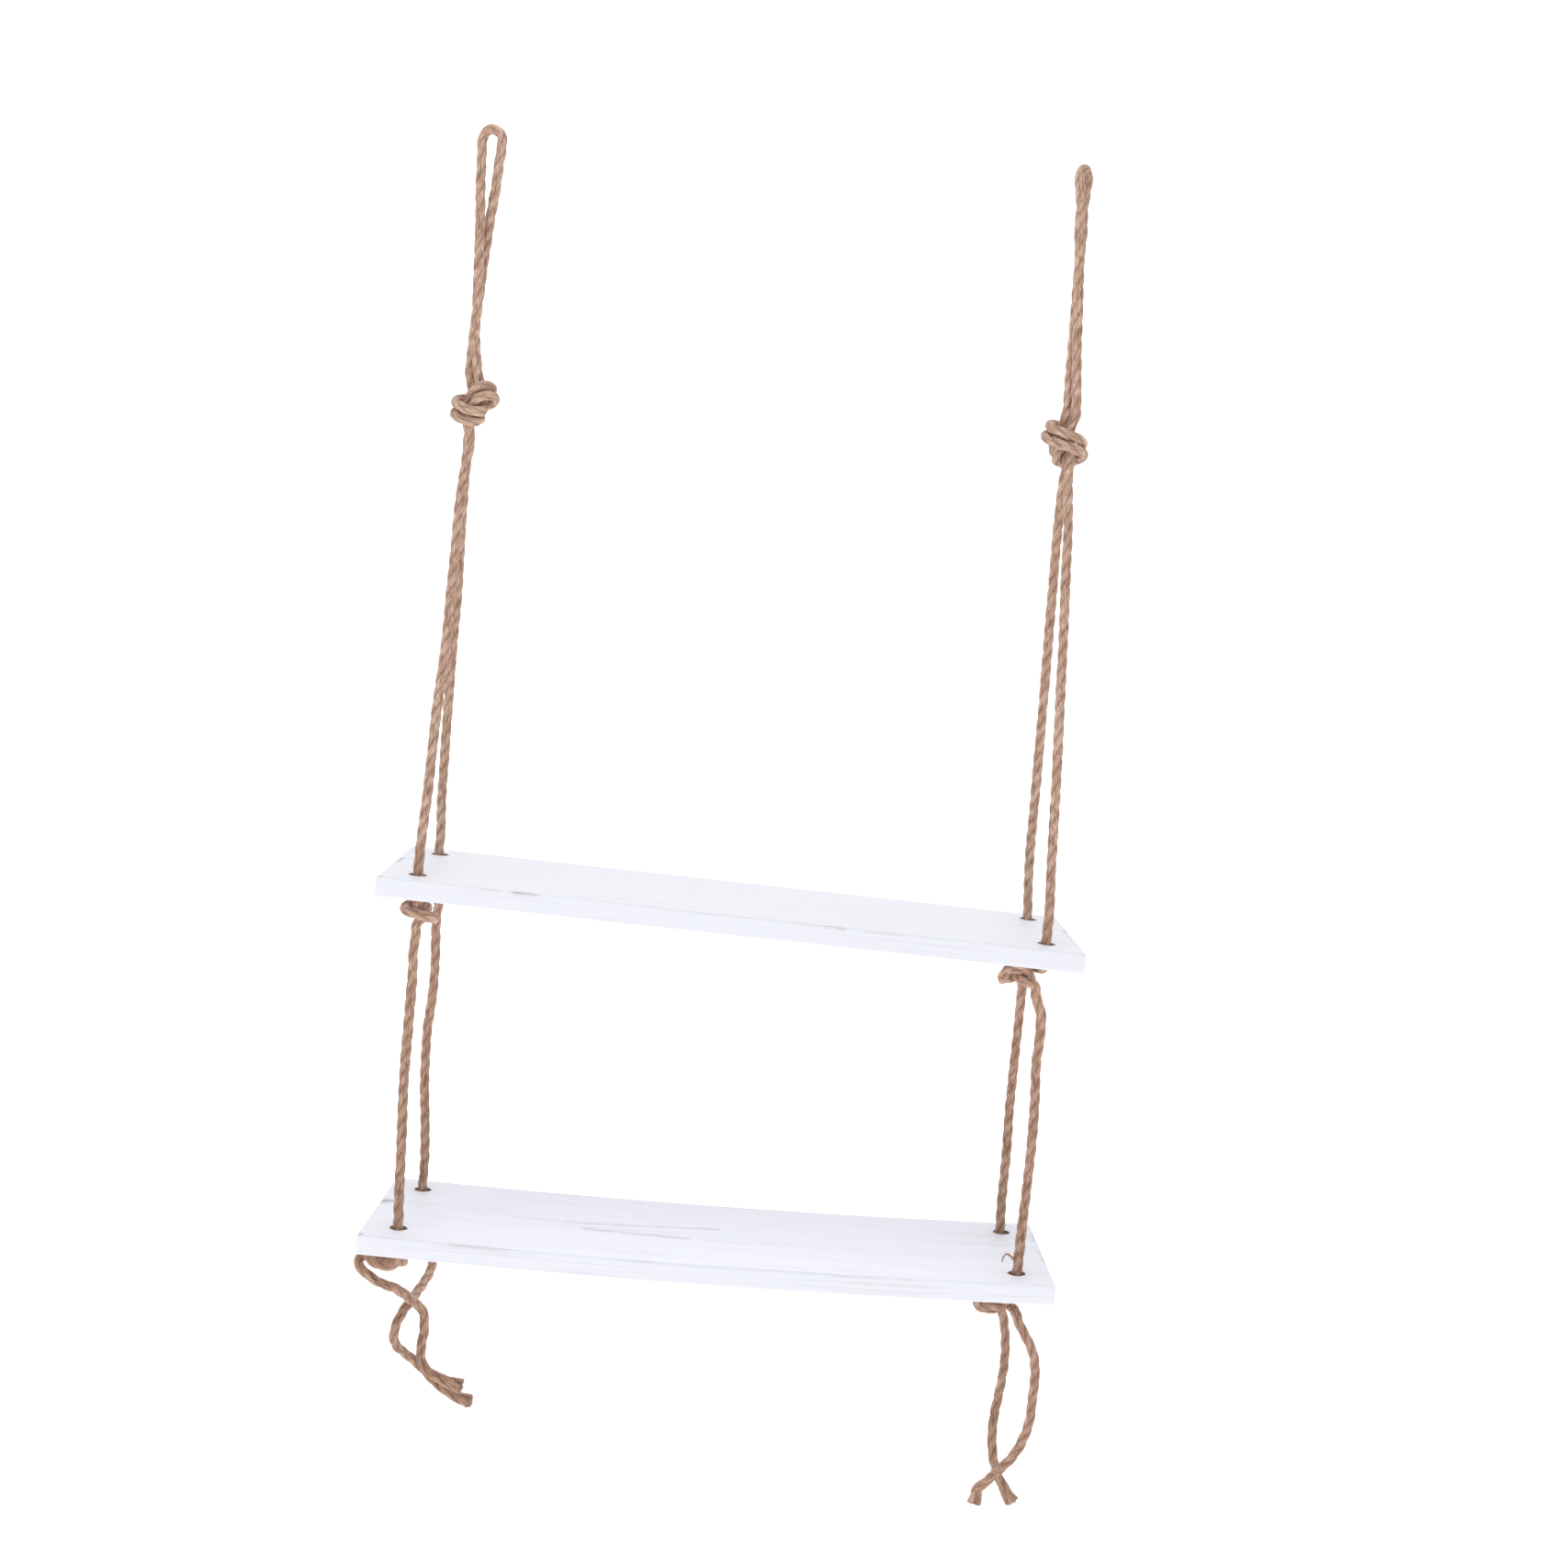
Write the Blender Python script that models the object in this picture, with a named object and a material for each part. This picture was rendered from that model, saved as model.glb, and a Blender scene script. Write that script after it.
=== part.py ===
"""Two-tier hanging shelf: two whitewashed boards hung on two knotted jute ropes.

Metres, +Z up. The boards run along X and the front edges face -Y. The origin is the
bearing point of the left hanging loop, the inside of its top. Each rope is one length:
it is doubled at its middle into the hanging loop, tied there in a two-strand overhand
knot, and its two legs run down through both boards, with an overhand knot under each
hole. The four loose ends below the lowest knots are solids of their own.
"""

import math

import bmesh
import bpy
from mathutils import Matrix, Quaternion, Vector

# Rope, three strands laid right-handed
CREST_RADIUS = 0.0031
GROOVE_RADIUS = 0.0024
LAY_LENGTH = 0.031
RINGS_PER_LAY = 6
RINGS_PER_LAY_IN_KNOT = 12
CREST_DIAMETER = 2 * CREST_RADIUS
STRANDS = 3

# Spacing of the points on a rope's smooth centreline, and how many of them its bend is read over
CENTRELINE_SPACING = 0.0004
BEND_REACH = 6

# A bend past this many radians a metre takes the closer rings, and no last step is shorter than this
TIGHT_BEND = 45.0
SHORTEST_LAST_STEP = 0.0008

# Boards
BOARD_DEPTH = 0.137
BOARD_THICKNESS = 0.012
EDGE_EASE = 0.0008
HOLE_DIAMETER = 0.0104
HOLE_FROM_END = 0.0211
HOLE_FROM_EDGE = 0.0227
HOLE_SIDES = 16
BOW_SEGMENTS = 13

# Gap between pieces that meet, and the drop from a board's underside to a knot's middle
MEETING_GAP = 0.0003
KNOT_DROP = 0.0105
FLAT_KNOT_DROP = 0.0081

# Points that lead into an overhand knot at either end, left off the lowest knots
LEAD_POINTS = 2

# A flat knot, in rope diameters: its spread, the height of its two layers, how steeply the
# rope passes between them, and where its top lead stands from its middle
FLAT_SPREAD = 0.72
FLAT_LAYER = 0.64
FLAT_STEEPNESS = 1.5
FLAT_LEAD = 2.16

# Where each board hangs: the middle of its top face before it sags, its length, its small
# tilts in degrees and how far its middle sags
BOARDS = {
    "upper": {"middle": (0.179, 0.0, -0.4494), "length": 0.421, "tilt": (0.5, 2.0, 0.3), "bow": 0.0},
    "lower": {"middle": (0.180, 0.0, -0.6602), "length": 0.419, "tilt": (-1.3, -0.1, -0.3), "bow": 0.0032},
}

# Each side's rope. The legs are points down the rope, between the knots and the holes.
# "loop" rows are height, half the gap between its two strands and their turn in degrees.
ROPES = {
    "left": {
        "end": -1,
        "loop_x": 0.0002,
        "loop": [
            (-0.0027, 0.0058, 0),
            (-0.0180, 0.0052, 0),
            (-0.0320, 0.0045, 10),
            (-0.0460, 0.0036, 32),
            (-0.0640, 0.0033, 58),
            (-0.0880, 0.0033, 84),
            (-0.1060, 0.0033, 96),
            (-0.1200, 0.0033, 106),
        ],
        "loop_drift": -0.0034,
        "pair_knot": (-0.0024, 0.0, -0.1603),
        "pair_yaw": 35,
        "pair_crossed": False,
        "front_leg": [(-0.0040, -0.0085, -0.2129), (-0.0050, -0.0150, -0.2629), (-0.0056, -0.0220, -0.3049),
                      (-0.0074, -0.0300, -0.3469), (-0.0086, -0.0380, -0.3959), (-0.0097, -0.0440, -0.4259)],
        "back_leg": [(-0.0050, 0.0080, -0.2129), (-0.0060, 0.0165, -0.2689), (-0.0080, 0.0240, -0.3129),
                     (-0.0098, 0.0330, -0.3679), (-0.0110, 0.0400, -0.4089), (-0.0108, 0.0440, -0.4289)],
        "front_run": [(-0.0098, -0.0462, -0.4879), (-0.0095, -0.0460, -0.5039), (-0.0102, -0.0458, -0.5369),
                      (-0.0108, -0.0456, -0.5709), (-0.0099, -0.0454, -0.6049), (-0.0094, -0.0452, -0.6389)],
        "back_run": [(-0.0102, 0.0452, -0.4869), (-0.0092, 0.0452, -0.5199), (-0.0100, 0.0450, -0.5389),
                     (-0.0115, 0.0450, -0.5569), (-0.0112, 0.0452, -0.5909), (-0.0092, 0.0456, -0.6189),
                     (-0.0082, 0.0458, -0.6409)],
        "knots": {("upper", "front"): ("tall", 160, 0.0025), ("upper", "back"): ("tall", 20, 0.0),
                  ("lower", "front"): ("wrapped", 0, 0.0), ("lower", "back"): ("tall", -30, 0.0)},
    },
    "right": {
        "end": 1,
        "loop_x": 0.3562,
        "loop": [
            (0.0015, 0.0064, 60),
            (-0.0140, 0.0058, 74),
            (-0.0290, 0.0050, 70),
            (-0.0450, 0.0038, 82),
            (-0.0630, 0.0033, 90),
            (-0.0800, 0.0033, 97),
            (-0.0980, 0.0033, 106),
            (-0.1160, 0.0033, 122),
        ],
        "loop_drift": 0.0040,
        "pair_knot": (0.3612, 0.0, -0.1559),
        "pair_yaw": 210,
        "pair_crossed": True,
        "front_leg": [(0.3640, -0.0090, -0.2059), (0.3646, -0.0140, -0.2359), (0.3656, -0.0210, -0.2759),
                      (0.3664, -0.0265, -0.3159), (0.3674, -0.0330, -0.3609), (0.3680, -0.0400, -0.4109),
                      (0.3686, -0.0440, -0.4369)],
        "back_leg": [(0.3602, 0.0090, -0.2059), (0.3610, 0.0145, -0.2389), (0.3622, 0.0215, -0.2809),
                     (0.3632, 0.0275, -0.3259), (0.3642, 0.0350, -0.3759), (0.3650, 0.0410, -0.4159),
                     (0.3664, 0.0440, -0.4389)],
        "front_run": [(0.3684, -0.0462, -0.4979), (0.3694, -0.0462, -0.5129), (0.3686, -0.0460, -0.5289),
                      (0.3698, -0.0460, -0.5529), (0.3702, -0.0458, -0.5809), (0.3696, -0.0458, -0.6069),
                      (0.3688, -0.0458, -0.6369)],
        "back_run": [(0.3678, 0.0462, -0.4979), (0.3679, 0.0462, -0.5209), (0.3674, 0.0460, -0.5489),
                     (0.3670, 0.0460, -0.5809), (0.3675, 0.0458, -0.6109), (0.3672, 0.0458, -0.6409)],
        "knots": {("upper", "front"): ("mirrored", 150, 0.0), ("upper", "back"): ("tall", 175, 0.0),
                  ("lower", "front"): ("flat", 130, 0.0), ("lower", "back"): ("tall", 0, 0.0)},
    },
}

# Routes of the four loose ends below their knots, points down the rope
TAIL_ROUTES = {
    "left_front_tail": [(-0.0336, -0.0315, -0.6858), (-0.0328, -0.0343, -0.6888), (-0.0290, -0.0366, -0.6915),
                        (-0.0240, -0.0367, -0.6952), (-0.0183, -0.0332, -0.6995), (-0.0105, -0.0250, -0.7050),
                        (-0.0020, -0.0140, -0.7154), (0.0045, -0.0085, -0.7239), (0.0060, -0.0085, -0.7354),
                        (0.0055, -0.0140, -0.7459), (0.0085, -0.0215, -0.7534), (0.0155, -0.0270, -0.7569),
                        (0.0245, -0.0305, -0.7589), (0.0340, -0.0330, -0.7614)],
    "left_back_tail": [(-0.0058, 0.0448, -0.6944), (-0.0015, 0.0418, -0.6994), (0.0022, 0.0365, -0.7039),
                       (0.0030, 0.0290, -0.7084), (0.0008, 0.0180, -0.7134), (-0.0030, 0.0050, -0.7181),
                       (-0.0066, -0.0085, -0.7224), (-0.0096, -0.0190, -0.7284), (-0.0108, -0.0220, -0.7359),
                       (-0.0090, -0.0190, -0.7434), (-0.0030, -0.0130, -0.7509), (0.0055, -0.0105, -0.7584),
                       (0.0145, -0.0145, -0.7649), (0.0255, -0.0220, -0.7694), (0.0395, -0.0290, -0.7719)],
    "right_front_tail": [(0.3716, -0.0462, -0.6890), (0.3745, -0.0466, -0.6945), (0.3785, -0.0452, -0.7010),
                         (0.3822, -0.0430, -0.7085),
                         (0.3845, -0.0405, -0.7149), (0.3862, -0.0375, -0.7269), (0.3864, -0.0345, -0.7409),
                         (0.3862, -0.0312, -0.7579), (0.3835, -0.0285, -0.7709), (0.3785, -0.0262, -0.7829),
                         (0.3710, -0.0243, -0.7929), (0.3638, -0.0228, -0.8017), (0.3590, -0.0215, -0.8081),
                         (0.3580, -0.0205, -0.8159)],
    "right_back_tail": [(0.3700, 0.0449, -0.6944), (0.3716, 0.0450, -0.7019), (0.3730, 0.0444, -0.7119),
                        (0.3756, 0.0424, -0.7219), (0.3770, 0.0385, -0.7349), (0.3764, 0.0330, -0.7489),
                        (0.3742, 0.0275, -0.7619), (0.3714, 0.0215, -0.7759), (0.3706, 0.0160, -0.7889),
                        (0.3724, 0.0100, -0.8019), (0.3766, 0.0055, -0.8119), (0.3850, 0.0010, -0.8234)],
}
TAIL_STARTS = {
    "left_front_tail": ("left", "front"),
    "left_back_tail": ("left", "back"),
    "right_front_tail": ("right", "front"),
    "right_back_tail": ("right", "back"),
}

# A loose end's cut tip is this much thicker, swelling over its last stretch
TAIL_FLARE = 1.25
FLARE_LENGTH = 4 * CREST_DIAMETER

# Finishes: colour and roughness
WHITEWASH = ((0.80, 0.81, 0.84, 1.0), 0.62)
JUTE = ((0.47, 0.33, 0.21, 1.0), 0.92)


def clear_scene():
    for old in list(bpy.data.objects):
        bpy.data.objects.remove(old, do_unlink=True)


def finish(name, colour, roughness):
    """Return a new Principled material."""
    material = bpy.data.materials.new(name)
    material.use_nodes = True
    shader = material.node_tree.nodes["Principled BSDF"]
    shader.inputs["Base Color"].default_value = colour
    shader.inputs["Roughness"].default_value = roughness
    shader.inputs["Metallic"].default_value = 0.0
    return material


def add_object(name, data):
    made = bpy.data.objects.new(name, data)
    bpy.context.scene.collection.objects.link(made)
    return made


def board_place(board):
    """Return the matrix from a board's own frame, origin in the middle of its top face."""
    tilt_x, tilt_y, tilt_z = (math.radians(angle) for angle in board["tilt"])
    turn = Matrix.Rotation(tilt_z, 4, "Z") @ Matrix.Rotation(tilt_y, 4, "Y") @ Matrix.Rotation(tilt_x, 4, "X")
    return Matrix.Translation(board["middle"]) @ turn


def hole_centre(board, end, edge, depth):
    """Return a point on a hole's axis, depth below the top face."""
    across = end * (board["length"] / 2 - HOLE_FROM_END)
    along = edge * (BOARD_DEPTH / 2 - HOLE_FROM_EDGE)
    return board_place(board) @ Vector((across, along, -depth - sag(board, across)))


def sag(board, across):
    """Return how far a board sags at a distance along it from its middle."""
    return board["bow"] * (1 - (2 * across / board["length"]) ** 2)


def make_board(name, board):
    """Make one board: a plank with eased edges and four drilled holes."""
    bm = bmesh.new()
    bmesh.ops.create_cube(bm, size=1)
    bmesh.ops.scale(bm, vec=(board["length"], BOARD_DEPTH, BOARD_THICKNESS), verts=bm.verts)
    bmesh.ops.translate(bm, vec=(0, 0, -BOARD_THICKNESS / 2), verts=bm.verts)
    if board["bow"]:
        for cut in range(1, BOW_SEGMENTS):
            across = board["length"] * (cut / BOW_SEGMENTS - 0.5)
            everything = list(bm.verts) + list(bm.edges) + list(bm.faces)
            bmesh.ops.bisect_plane(bm, geom=everything, plane_co=(across, 0, 0), plane_no=(1, 0, 0))
        for vert in bm.verts:
            vert.co.z -= sag(board, vert.co.x)
    mesh = bpy.data.meshes.new(name)
    bm.to_mesh(mesh)
    bm.free()
    plank = add_object(name, mesh)
    plank.matrix_world = board_place(board)
    ease = plank.modifiers.new("eased edges", "BEVEL")
    ease.width = EDGE_EASE
    ease.segments = 1
    ease.limit_method = "ANGLE"
    for end in (-1, 1):
        for edge in (-1, 1):
            drill = make_drill(name + "_drill", board, end, edge)
            cut = plank.modifiers.new("hole", "BOOLEAN")
            cut.operation = "DIFFERENCE"
            cut.solver = "EXACT"
            cut.object = drill
    plank.data.materials.append(finish(name + " whitewash", *WHITEWASH))
    return plank


def make_drill(name, board, end, edge):
    """Make the round cutter of one hole."""
    bpy.ops.mesh.primitive_cylinder_add(
        vertices=HOLE_SIDES, radius=HOLE_DIAMETER / 2, depth=3 * BOARD_THICKNESS
    )
    drill = bpy.context.active_object
    drill.name = name
    across = end * (board["length"] / 2 - HOLE_FROM_END)
    along = edge * (BOARD_DEPTH / 2 - HOLE_FROM_EDGE)
    drill.matrix_world = board_place(board) @ Matrix.Translation((across, along, -BOARD_THICKNESS / 2))
    drill.hide_render = True
    drill.display_type = "WIRE"
    return drill


def single_knot(steps=26):
    """Return an overhand knot's centreline, bottom to top, in rope diameters.

    Its two leads stand on the Z axis, and the knot bulges round them.
    """
    points = [Vector((0.16, 0.0, -2.25)), Vector((0.24, 0.0, -1.62))]
    for step in range(steps + 1):
        turn = math.pi * (2 * step / steps - 1)
        x = -0.71 * math.sin(turn) - 1.01 * math.sin(2 * turn)
        y = -0.40 + 0.47 * math.cos(turn) + 0.87 * math.cos(2 * turn)
        z = 0.32 * turn - 1.13 * math.sin(turn) + 0.23 * math.sin(2 * turn)
        points.append(Vector((x, y, z)))
    points += [Vector((-0.24, 0.0, 1.62)), Vector((-0.16, 0.0, 2.25))]
    return points


def pair_knot(steps=46):
    """Return the two strands of a doubled overhand knot, each bottom to top, in rope diameters.

    The second strand is the first one turned half round the Y axis.
    """
    first = []
    for step in range(steps + 1):
        turn = math.pi * (2 * step / steps - 1)
        sines = [math.sin(wave * turn) for wave in (1, 2, 3)]
        cosines = [math.cos(wave * turn) for wave in (1, 2, 3)]
        middle = Vector((
            -0.46 * sines[0] - 1.14 * sines[1] - 0.42 * sines[2],
            -0.71 + 0.17 * cosines[0] + 1.30 * cosines[1] + 0.42 * cosines[2],
            0.99 * turn - 2.51 * sines[0] - 0.05 * sines[1] + 0.22 * sines[2],
        ))
        apart = Vector((
            0.01 - 0.04 * cosines[0] + 0.16 * cosines[1] + 0.07 * cosines[2],
            -0.16 * turn - 0.05 * sines[0] + 0.10 * sines[1] + 0.07 * sines[2],
            0.42 + 0.19 * cosines[0] + 0.03 * cosines[1] - 0.05 * cosines[2],
        ))
        first.append(middle + apart)
    second = [Vector((-point.x, point.y, -point.z)) for point in reversed(first)]
    return first, second


def placed(points, centre, yaw):
    """Scale a knot from rope diameters to metres and set it at its centre."""
    turn = Matrix.Rotation(math.radians(yaw), 3, "Z")
    return [Vector(centre) + turn @ (point * CREST_DIAMETER) for point in points]


def flat_lobes():
    """Return the crossing lobes of an overhand knot pressed flat, top end to bottom end."""
    points = []
    for degrees in range(202, 503, 12):
        turn = math.radians(degrees)
        x = FLAT_SPREAD * (math.cos(turn) - 2 * math.cos(2 * turn))
        y = FLAT_SPREAD * (math.sin(turn) + 2 * math.sin(2 * turn))
        z = -FLAT_LAYER * max(-1.0, min(1.0, FLAT_STEEPNESS * math.sin(3 * turn)))
        points.append(Vector((x, y, z)))
    points[0].z = points[1].z = FLAT_LAYER
    return points


def flat_knot():
    """Return a flat overhand knot's centreline, bottom to top, in rope diameters.

    Its top lead stands on the Z axis and its lobes lie to the +X side.
    """
    points = [Vector((-FLAT_LEAD, 0, 2.4)), Vector((-FLAT_LEAD, 0, 1.7)), Vector((-2.13, 0.03, 1.12))]
    points += flat_lobes()
    points += [Vector((-1.27, -0.92, -0.67)), Vector((-1.66, -0.75, -0.86)),
               Vector((-1.88, -0.65, -1.25)), Vector((-1.88, -0.65, -1.9))]
    return [point + Vector((FLAT_LEAD, 0, 0)) for point in reversed(points)]


def wrapped_knot():
    """Return a flat overhand knot whose top lead first runs round its front, bottom to top."""
    lead = Vector((1.05, -2.95, 0))
    wrap = [(1.05, -2.95, 2.4), (1.05, -2.95, 1.2), (1.05, -2.95, 0.2), (0.80, -2.97, -0.40),
            (0.20, -2.97, -0.62), (-0.45, -2.80, -0.62), (-1.20, -2.45, -0.50), (-1.80, -1.92, -0.15),
            (-2.14, -1.32, 0.35), (-2.26, -0.70, 0.66), (-2.20, -0.05, 0.70)]
    leave = [(-1.27, -0.92, -0.64), (-1.66, -0.75, -0.62), (-2.10, -0.60, -0.60),
             (-2.50, -0.52, -0.62), (-2.85, -0.50, -0.75)]
    points = [Vector(point) for point in wrap] + flat_lobes() + [Vector(point) for point in leave]
    return [point - lead for point in reversed(points)]


def hole_knot(rope, tier, edge_name):
    """Return the overhand knot pressed under one hole, bottom to top.

    A tall knot hangs a little to one side: its shift grows down its top lead.
    """
    edge = -1 if edge_name == "front" else 1
    style, yaw, shift = rope["knots"][(tier, edge_name)]
    below = hole_centre(BOARDS[tier], rope["end"], edge, BOARD_THICKNESS)
    if style == "tall":
        knot = placed(single_knot(), below - Vector((0, 0, KNOT_DROP)), yaw)
        for height, point in enumerate(reversed(knot)):
            point.x += shift * min(1.0, height / 3)
        return knot
    points = wrapped_knot() if style == "wrapped" else flat_knot()
    if style == "mirrored":
        points = [Vector((point.x, -point.y, point.z)) for point in points]
    return placed(points, below - Vector((0, 0, FLAT_KNOT_DROP)), yaw)


def loop_strands(rope):
    """Return the hanging loop's two strands: the first to its top, the second down from it."""
    rise, fall = [], []
    lowest = rope["loop"][-1][0]
    for height, half_gap, turn in rope["loop"]:
        angle = math.radians(turn)
        offset = Vector((half_gap * math.cos(angle), half_gap * math.sin(angle), 0))
        middle = Vector((rope["loop_x"] + rope["loop_drift"] * height / lowest, 0, height))
        rise.append(middle + offset)
        fall.append(middle - offset)
    top_height, top_gap, top_turn = rope["loop"][0]
    crown = []
    for angle in (45, 90, 135):
        side = top_gap * math.cos(math.radians(angle))
        lift = top_gap * math.sin(math.radians(angle))
        facing = math.radians(top_turn)
        crown.append(Vector((rope["loop_x"] + side * math.cos(facing), side * math.sin(facing),
                             top_height + lift)))
    return list(reversed(rise)) + crown + fall


def rope_route(rope):
    """Return the rope's route points from under the lower front knot to under the lower back one."""
    first, second = pair_knot()
    if rope["pair_crossed"]:
        first, second = second, first
    strand_down = placed(first, rope["pair_knot"], rope["pair_yaw"])
    strand_up = placed(second, rope["pair_knot"], rope["pair_yaw"])
    leg = [Vector(point) for point in rope["front_leg"]]
    run = [Vector(point) for point in rope["front_run"]]
    route = hole_knot(rope, "lower", "front")[LEAD_POINTS:]
    route += list(reversed(run))
    route += hole_knot(rope, "upper", "front")
    route += list(reversed(leg))
    route += strand_up
    route += loop_strands(rope)
    route += list(reversed(strand_down))
    route += [Vector(point) for point in rope["back_leg"]]
    route += list(reversed(hole_knot(rope, "upper", "back")))
    route += [Vector(point) for point in rope["back_run"]]
    route += list(reversed(hole_knot(rope, "lower", "back")))[:-LEAD_POINTS]
    return route


def smooth_curve(points):
    """Return closely spaced points on a smooth curve through the route points."""
    ends = [2 * points[0] - points[1]] + points + [2 * points[-1] - points[-2]]
    fine = []
    for before, start, stop, after in zip(ends, ends[1:], ends[2:], ends[3:]):
        times = [0.0]
        for low, high in ((before, start), (start, stop), (stop, after)):
            times.append(times[-1] + math.sqrt((high - low).length))
        count = max(2, int((stop - start).length / CENTRELINE_SPACING))
        for step in range(count):
            at = times[1] + (times[2] - times[1]) * step / count
            fine.append(spline_point((before, start, stop, after), times, at))
    fine.append(points[-1].copy())
    return fine


def spline_point(corners, times, at):
    """Return one point of a centripetal spline, between its two middle corners."""
    def between(low, high, start, stop):
        return low + (high - low) * ((at - start) / (stop - start))

    early = between(corners[0], corners[1], times[0], times[1])
    middle = between(corners[1], corners[2], times[1], times[2])
    late = between(corners[2], corners[3], times[2], times[3])
    first = between(early, middle, times[0], times[2])
    second = between(middle, late, times[1], times[3])
    return between(first, second, times[1], times[2])


def bend_at(fine, index):
    """Return how far the curve turns, in radians a metre, near one of its points."""
    low = max(0, index - BEND_REACH)
    high = min(len(fine) - 1, index + BEND_REACH)
    if index in (low, high):
        return 0.0
    arriving = fine[index] - fine[low]
    leaving = fine[high] - fine[index]
    return 2 * arriving.angle(leaving) / (arriving.length + leaving.length)


def rings_along(fine):
    """Return the distances at which the rope's rings stand, closer where it bends."""
    travel = [0.0]
    for low, high in zip(fine, fine[1:]):
        travel.append(travel[-1] + (high - low).length)
    stations = [0]
    last = 0.0
    for index in range(1, len(fine)):
        tight = bend_at(fine, index) > TIGHT_BEND
        step = LAY_LENGTH / (RINGS_PER_LAY_IN_KNOT if tight else RINGS_PER_LAY)
        if travel[index] - last >= step:
            stations.append(index)
            last = travel[index]
    if travel[-1] - travel[stations[-1]] < SHORTEST_LAST_STEP:
        stations.pop()
    stations.append(len(fine) - 1)
    return stations, travel


def lay_rope(name, route, flare=1.0):
    """Make one laid rope as a swept mesh with its three strands raised.

    Each ring has a corner on every strand's crest and one in every groove. The far end
    swells by the flare over its last few diameters.
    """
    fine = smooth_curve(route)
    stations, travel = rings_along(fine)
    vertices, faces = [], []
    heading = (fine[1] - fine[0]).normalized()
    side = heading.orthogonal().normalized()
    sides = 2 * STRANDS
    previous = 0
    for ring, index in enumerate(stations):
        for step in range(previous + 1, index + 1):
            low = max(0, step - 1)
            high = min(len(fine) - 1, step + 1)
            new_heading = (fine[high] - fine[low]).normalized()
            side = heading.rotation_difference(new_heading) @ side
            heading = new_heading
        previous = index
        side = (side - heading * side.dot(heading)).normalized()
        twist = 2 * math.pi * travel[index] / LAY_LENGTH
        near_end = max(0.0, 1 - (travel[-1] - travel[index]) / FLARE_LENGTH)
        swell = 1 + (flare - 1) * near_end ** 2
        for corner in range(sides):
            radius = (CREST_RADIUS if corner % 2 == 0 else GROOVE_RADIUS) * swell
            turn = Quaternion(heading, twist + 2 * math.pi * corner / sides)
            vertices.append(fine[index] + radius * (turn @ side))
        if ring:
            base = (ring - 1) * sides
            for corner in range(sides):
                after = (corner + 1) % sides
                faces.append((base + corner, base + after, base + sides + after, base + sides + corner))
    faces.append(tuple(reversed(range(sides))))
    last = (len(stations) - 1) * sides
    faces.append(tuple(range(last, last + sides)))
    mesh = bpy.data.meshes.new(name)
    mesh.from_pydata([tuple(vertex) for vertex in vertices], [], faces)
    mesh.shade_smooth()
    rope = add_object(name, mesh)
    rope.data.materials.append(finish(name + " jute", *JUTE))
    return rope


def tail_route(name):
    """Return one loose end's route, starting just clear of the knot above it."""
    side, edge_name = TAIL_STARTS[name]
    knot = hole_knot(ROPES[side], "lower", edge_name)[LEAD_POINTS:]
    away = (knot[0] - knot[1]).normalized()
    start = knot[0] + away * MEETING_GAP
    return [start, start + away * CREST_RADIUS] + [Vector(point) for point in TAIL_ROUTES[name]]


def main():
    clear_scene()
    for tier, board in BOARDS.items():
        make_board(tier + "_board", board)
    for side, rope in ROPES.items():
        lay_rope(side + "_rope", rope_route(rope))
    for name in TAIL_ROUTES:
        lay_rope(name, tail_route(name), flare=TAIL_FLARE)


main()
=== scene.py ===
"""The jute hanging shelf: worn whitewashed boards on laid jute rope, hung in a white studio.

Metres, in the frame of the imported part: +X along the boards, +Y to the back, +Z up, origin at
the bearing point of the left hanging loop.
"""

import math
import random

import bmesh
import bpy
from mathutils import Matrix, Quaternion, Vector, noise


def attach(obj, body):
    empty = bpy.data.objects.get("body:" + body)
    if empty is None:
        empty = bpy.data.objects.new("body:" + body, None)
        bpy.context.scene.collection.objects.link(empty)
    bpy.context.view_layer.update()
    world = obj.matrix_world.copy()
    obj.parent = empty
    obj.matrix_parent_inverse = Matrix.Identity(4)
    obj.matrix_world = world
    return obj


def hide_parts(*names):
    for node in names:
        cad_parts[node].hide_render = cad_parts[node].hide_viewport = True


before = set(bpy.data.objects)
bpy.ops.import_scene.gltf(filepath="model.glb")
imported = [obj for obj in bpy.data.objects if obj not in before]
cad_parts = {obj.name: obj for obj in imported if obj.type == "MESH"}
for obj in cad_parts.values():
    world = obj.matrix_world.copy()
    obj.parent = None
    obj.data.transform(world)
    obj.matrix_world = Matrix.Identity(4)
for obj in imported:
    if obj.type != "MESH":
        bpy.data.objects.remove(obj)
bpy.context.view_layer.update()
scene = bpy.context.scene

# Camera: place in metres, turn in degrees, a 50 mm lens on a 36 mm sensor
CAMERA_PLACE = (0.1859, -1.3375, -0.2529)
CAMERA_TURN = (84.7055, -4.4401, -0.3836)
CAMERA_LENS = 50.0
CAMERA_SENSOR = 36.0

# Rope, three strands laid right-handed
ROPE_DIAMETER = 0.0062
LAY_LENGTH = 0.031
STRANDS = 3
CORNERS_PER_STRAND = 8
STRAND_RADIUS = 0.00218
STRAND_OFFSET = 0.00100
RING_STEP = 0.0013
RING_STEP_IN_BEND = 0.0008
TIGHT_BEND = 45.0
CENTRELINE_SPACING = 0.0004
BEND_REACH = 6

# Boards
BOARD_DEPTH = 0.137
BOARD_THICKNESS = 0.012
HOLE_DIAMETER = 0.0104
HOLE_FROM_END = 0.0211
HOLE_FROM_EDGE = 0.0227
BOARDS = {
    "upper": {"middle": (0.179, 0.0, -0.4494), "length": 0.421, "tilt": (0.5, 2.0, 0.3), "bow": 0.0},
    "lower": {"middle": (0.180, 0.0, -0.6602), "length": 0.419, "tilt": (-1.3, -0.1, -0.3), "bow": 0.0032},
}

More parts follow.
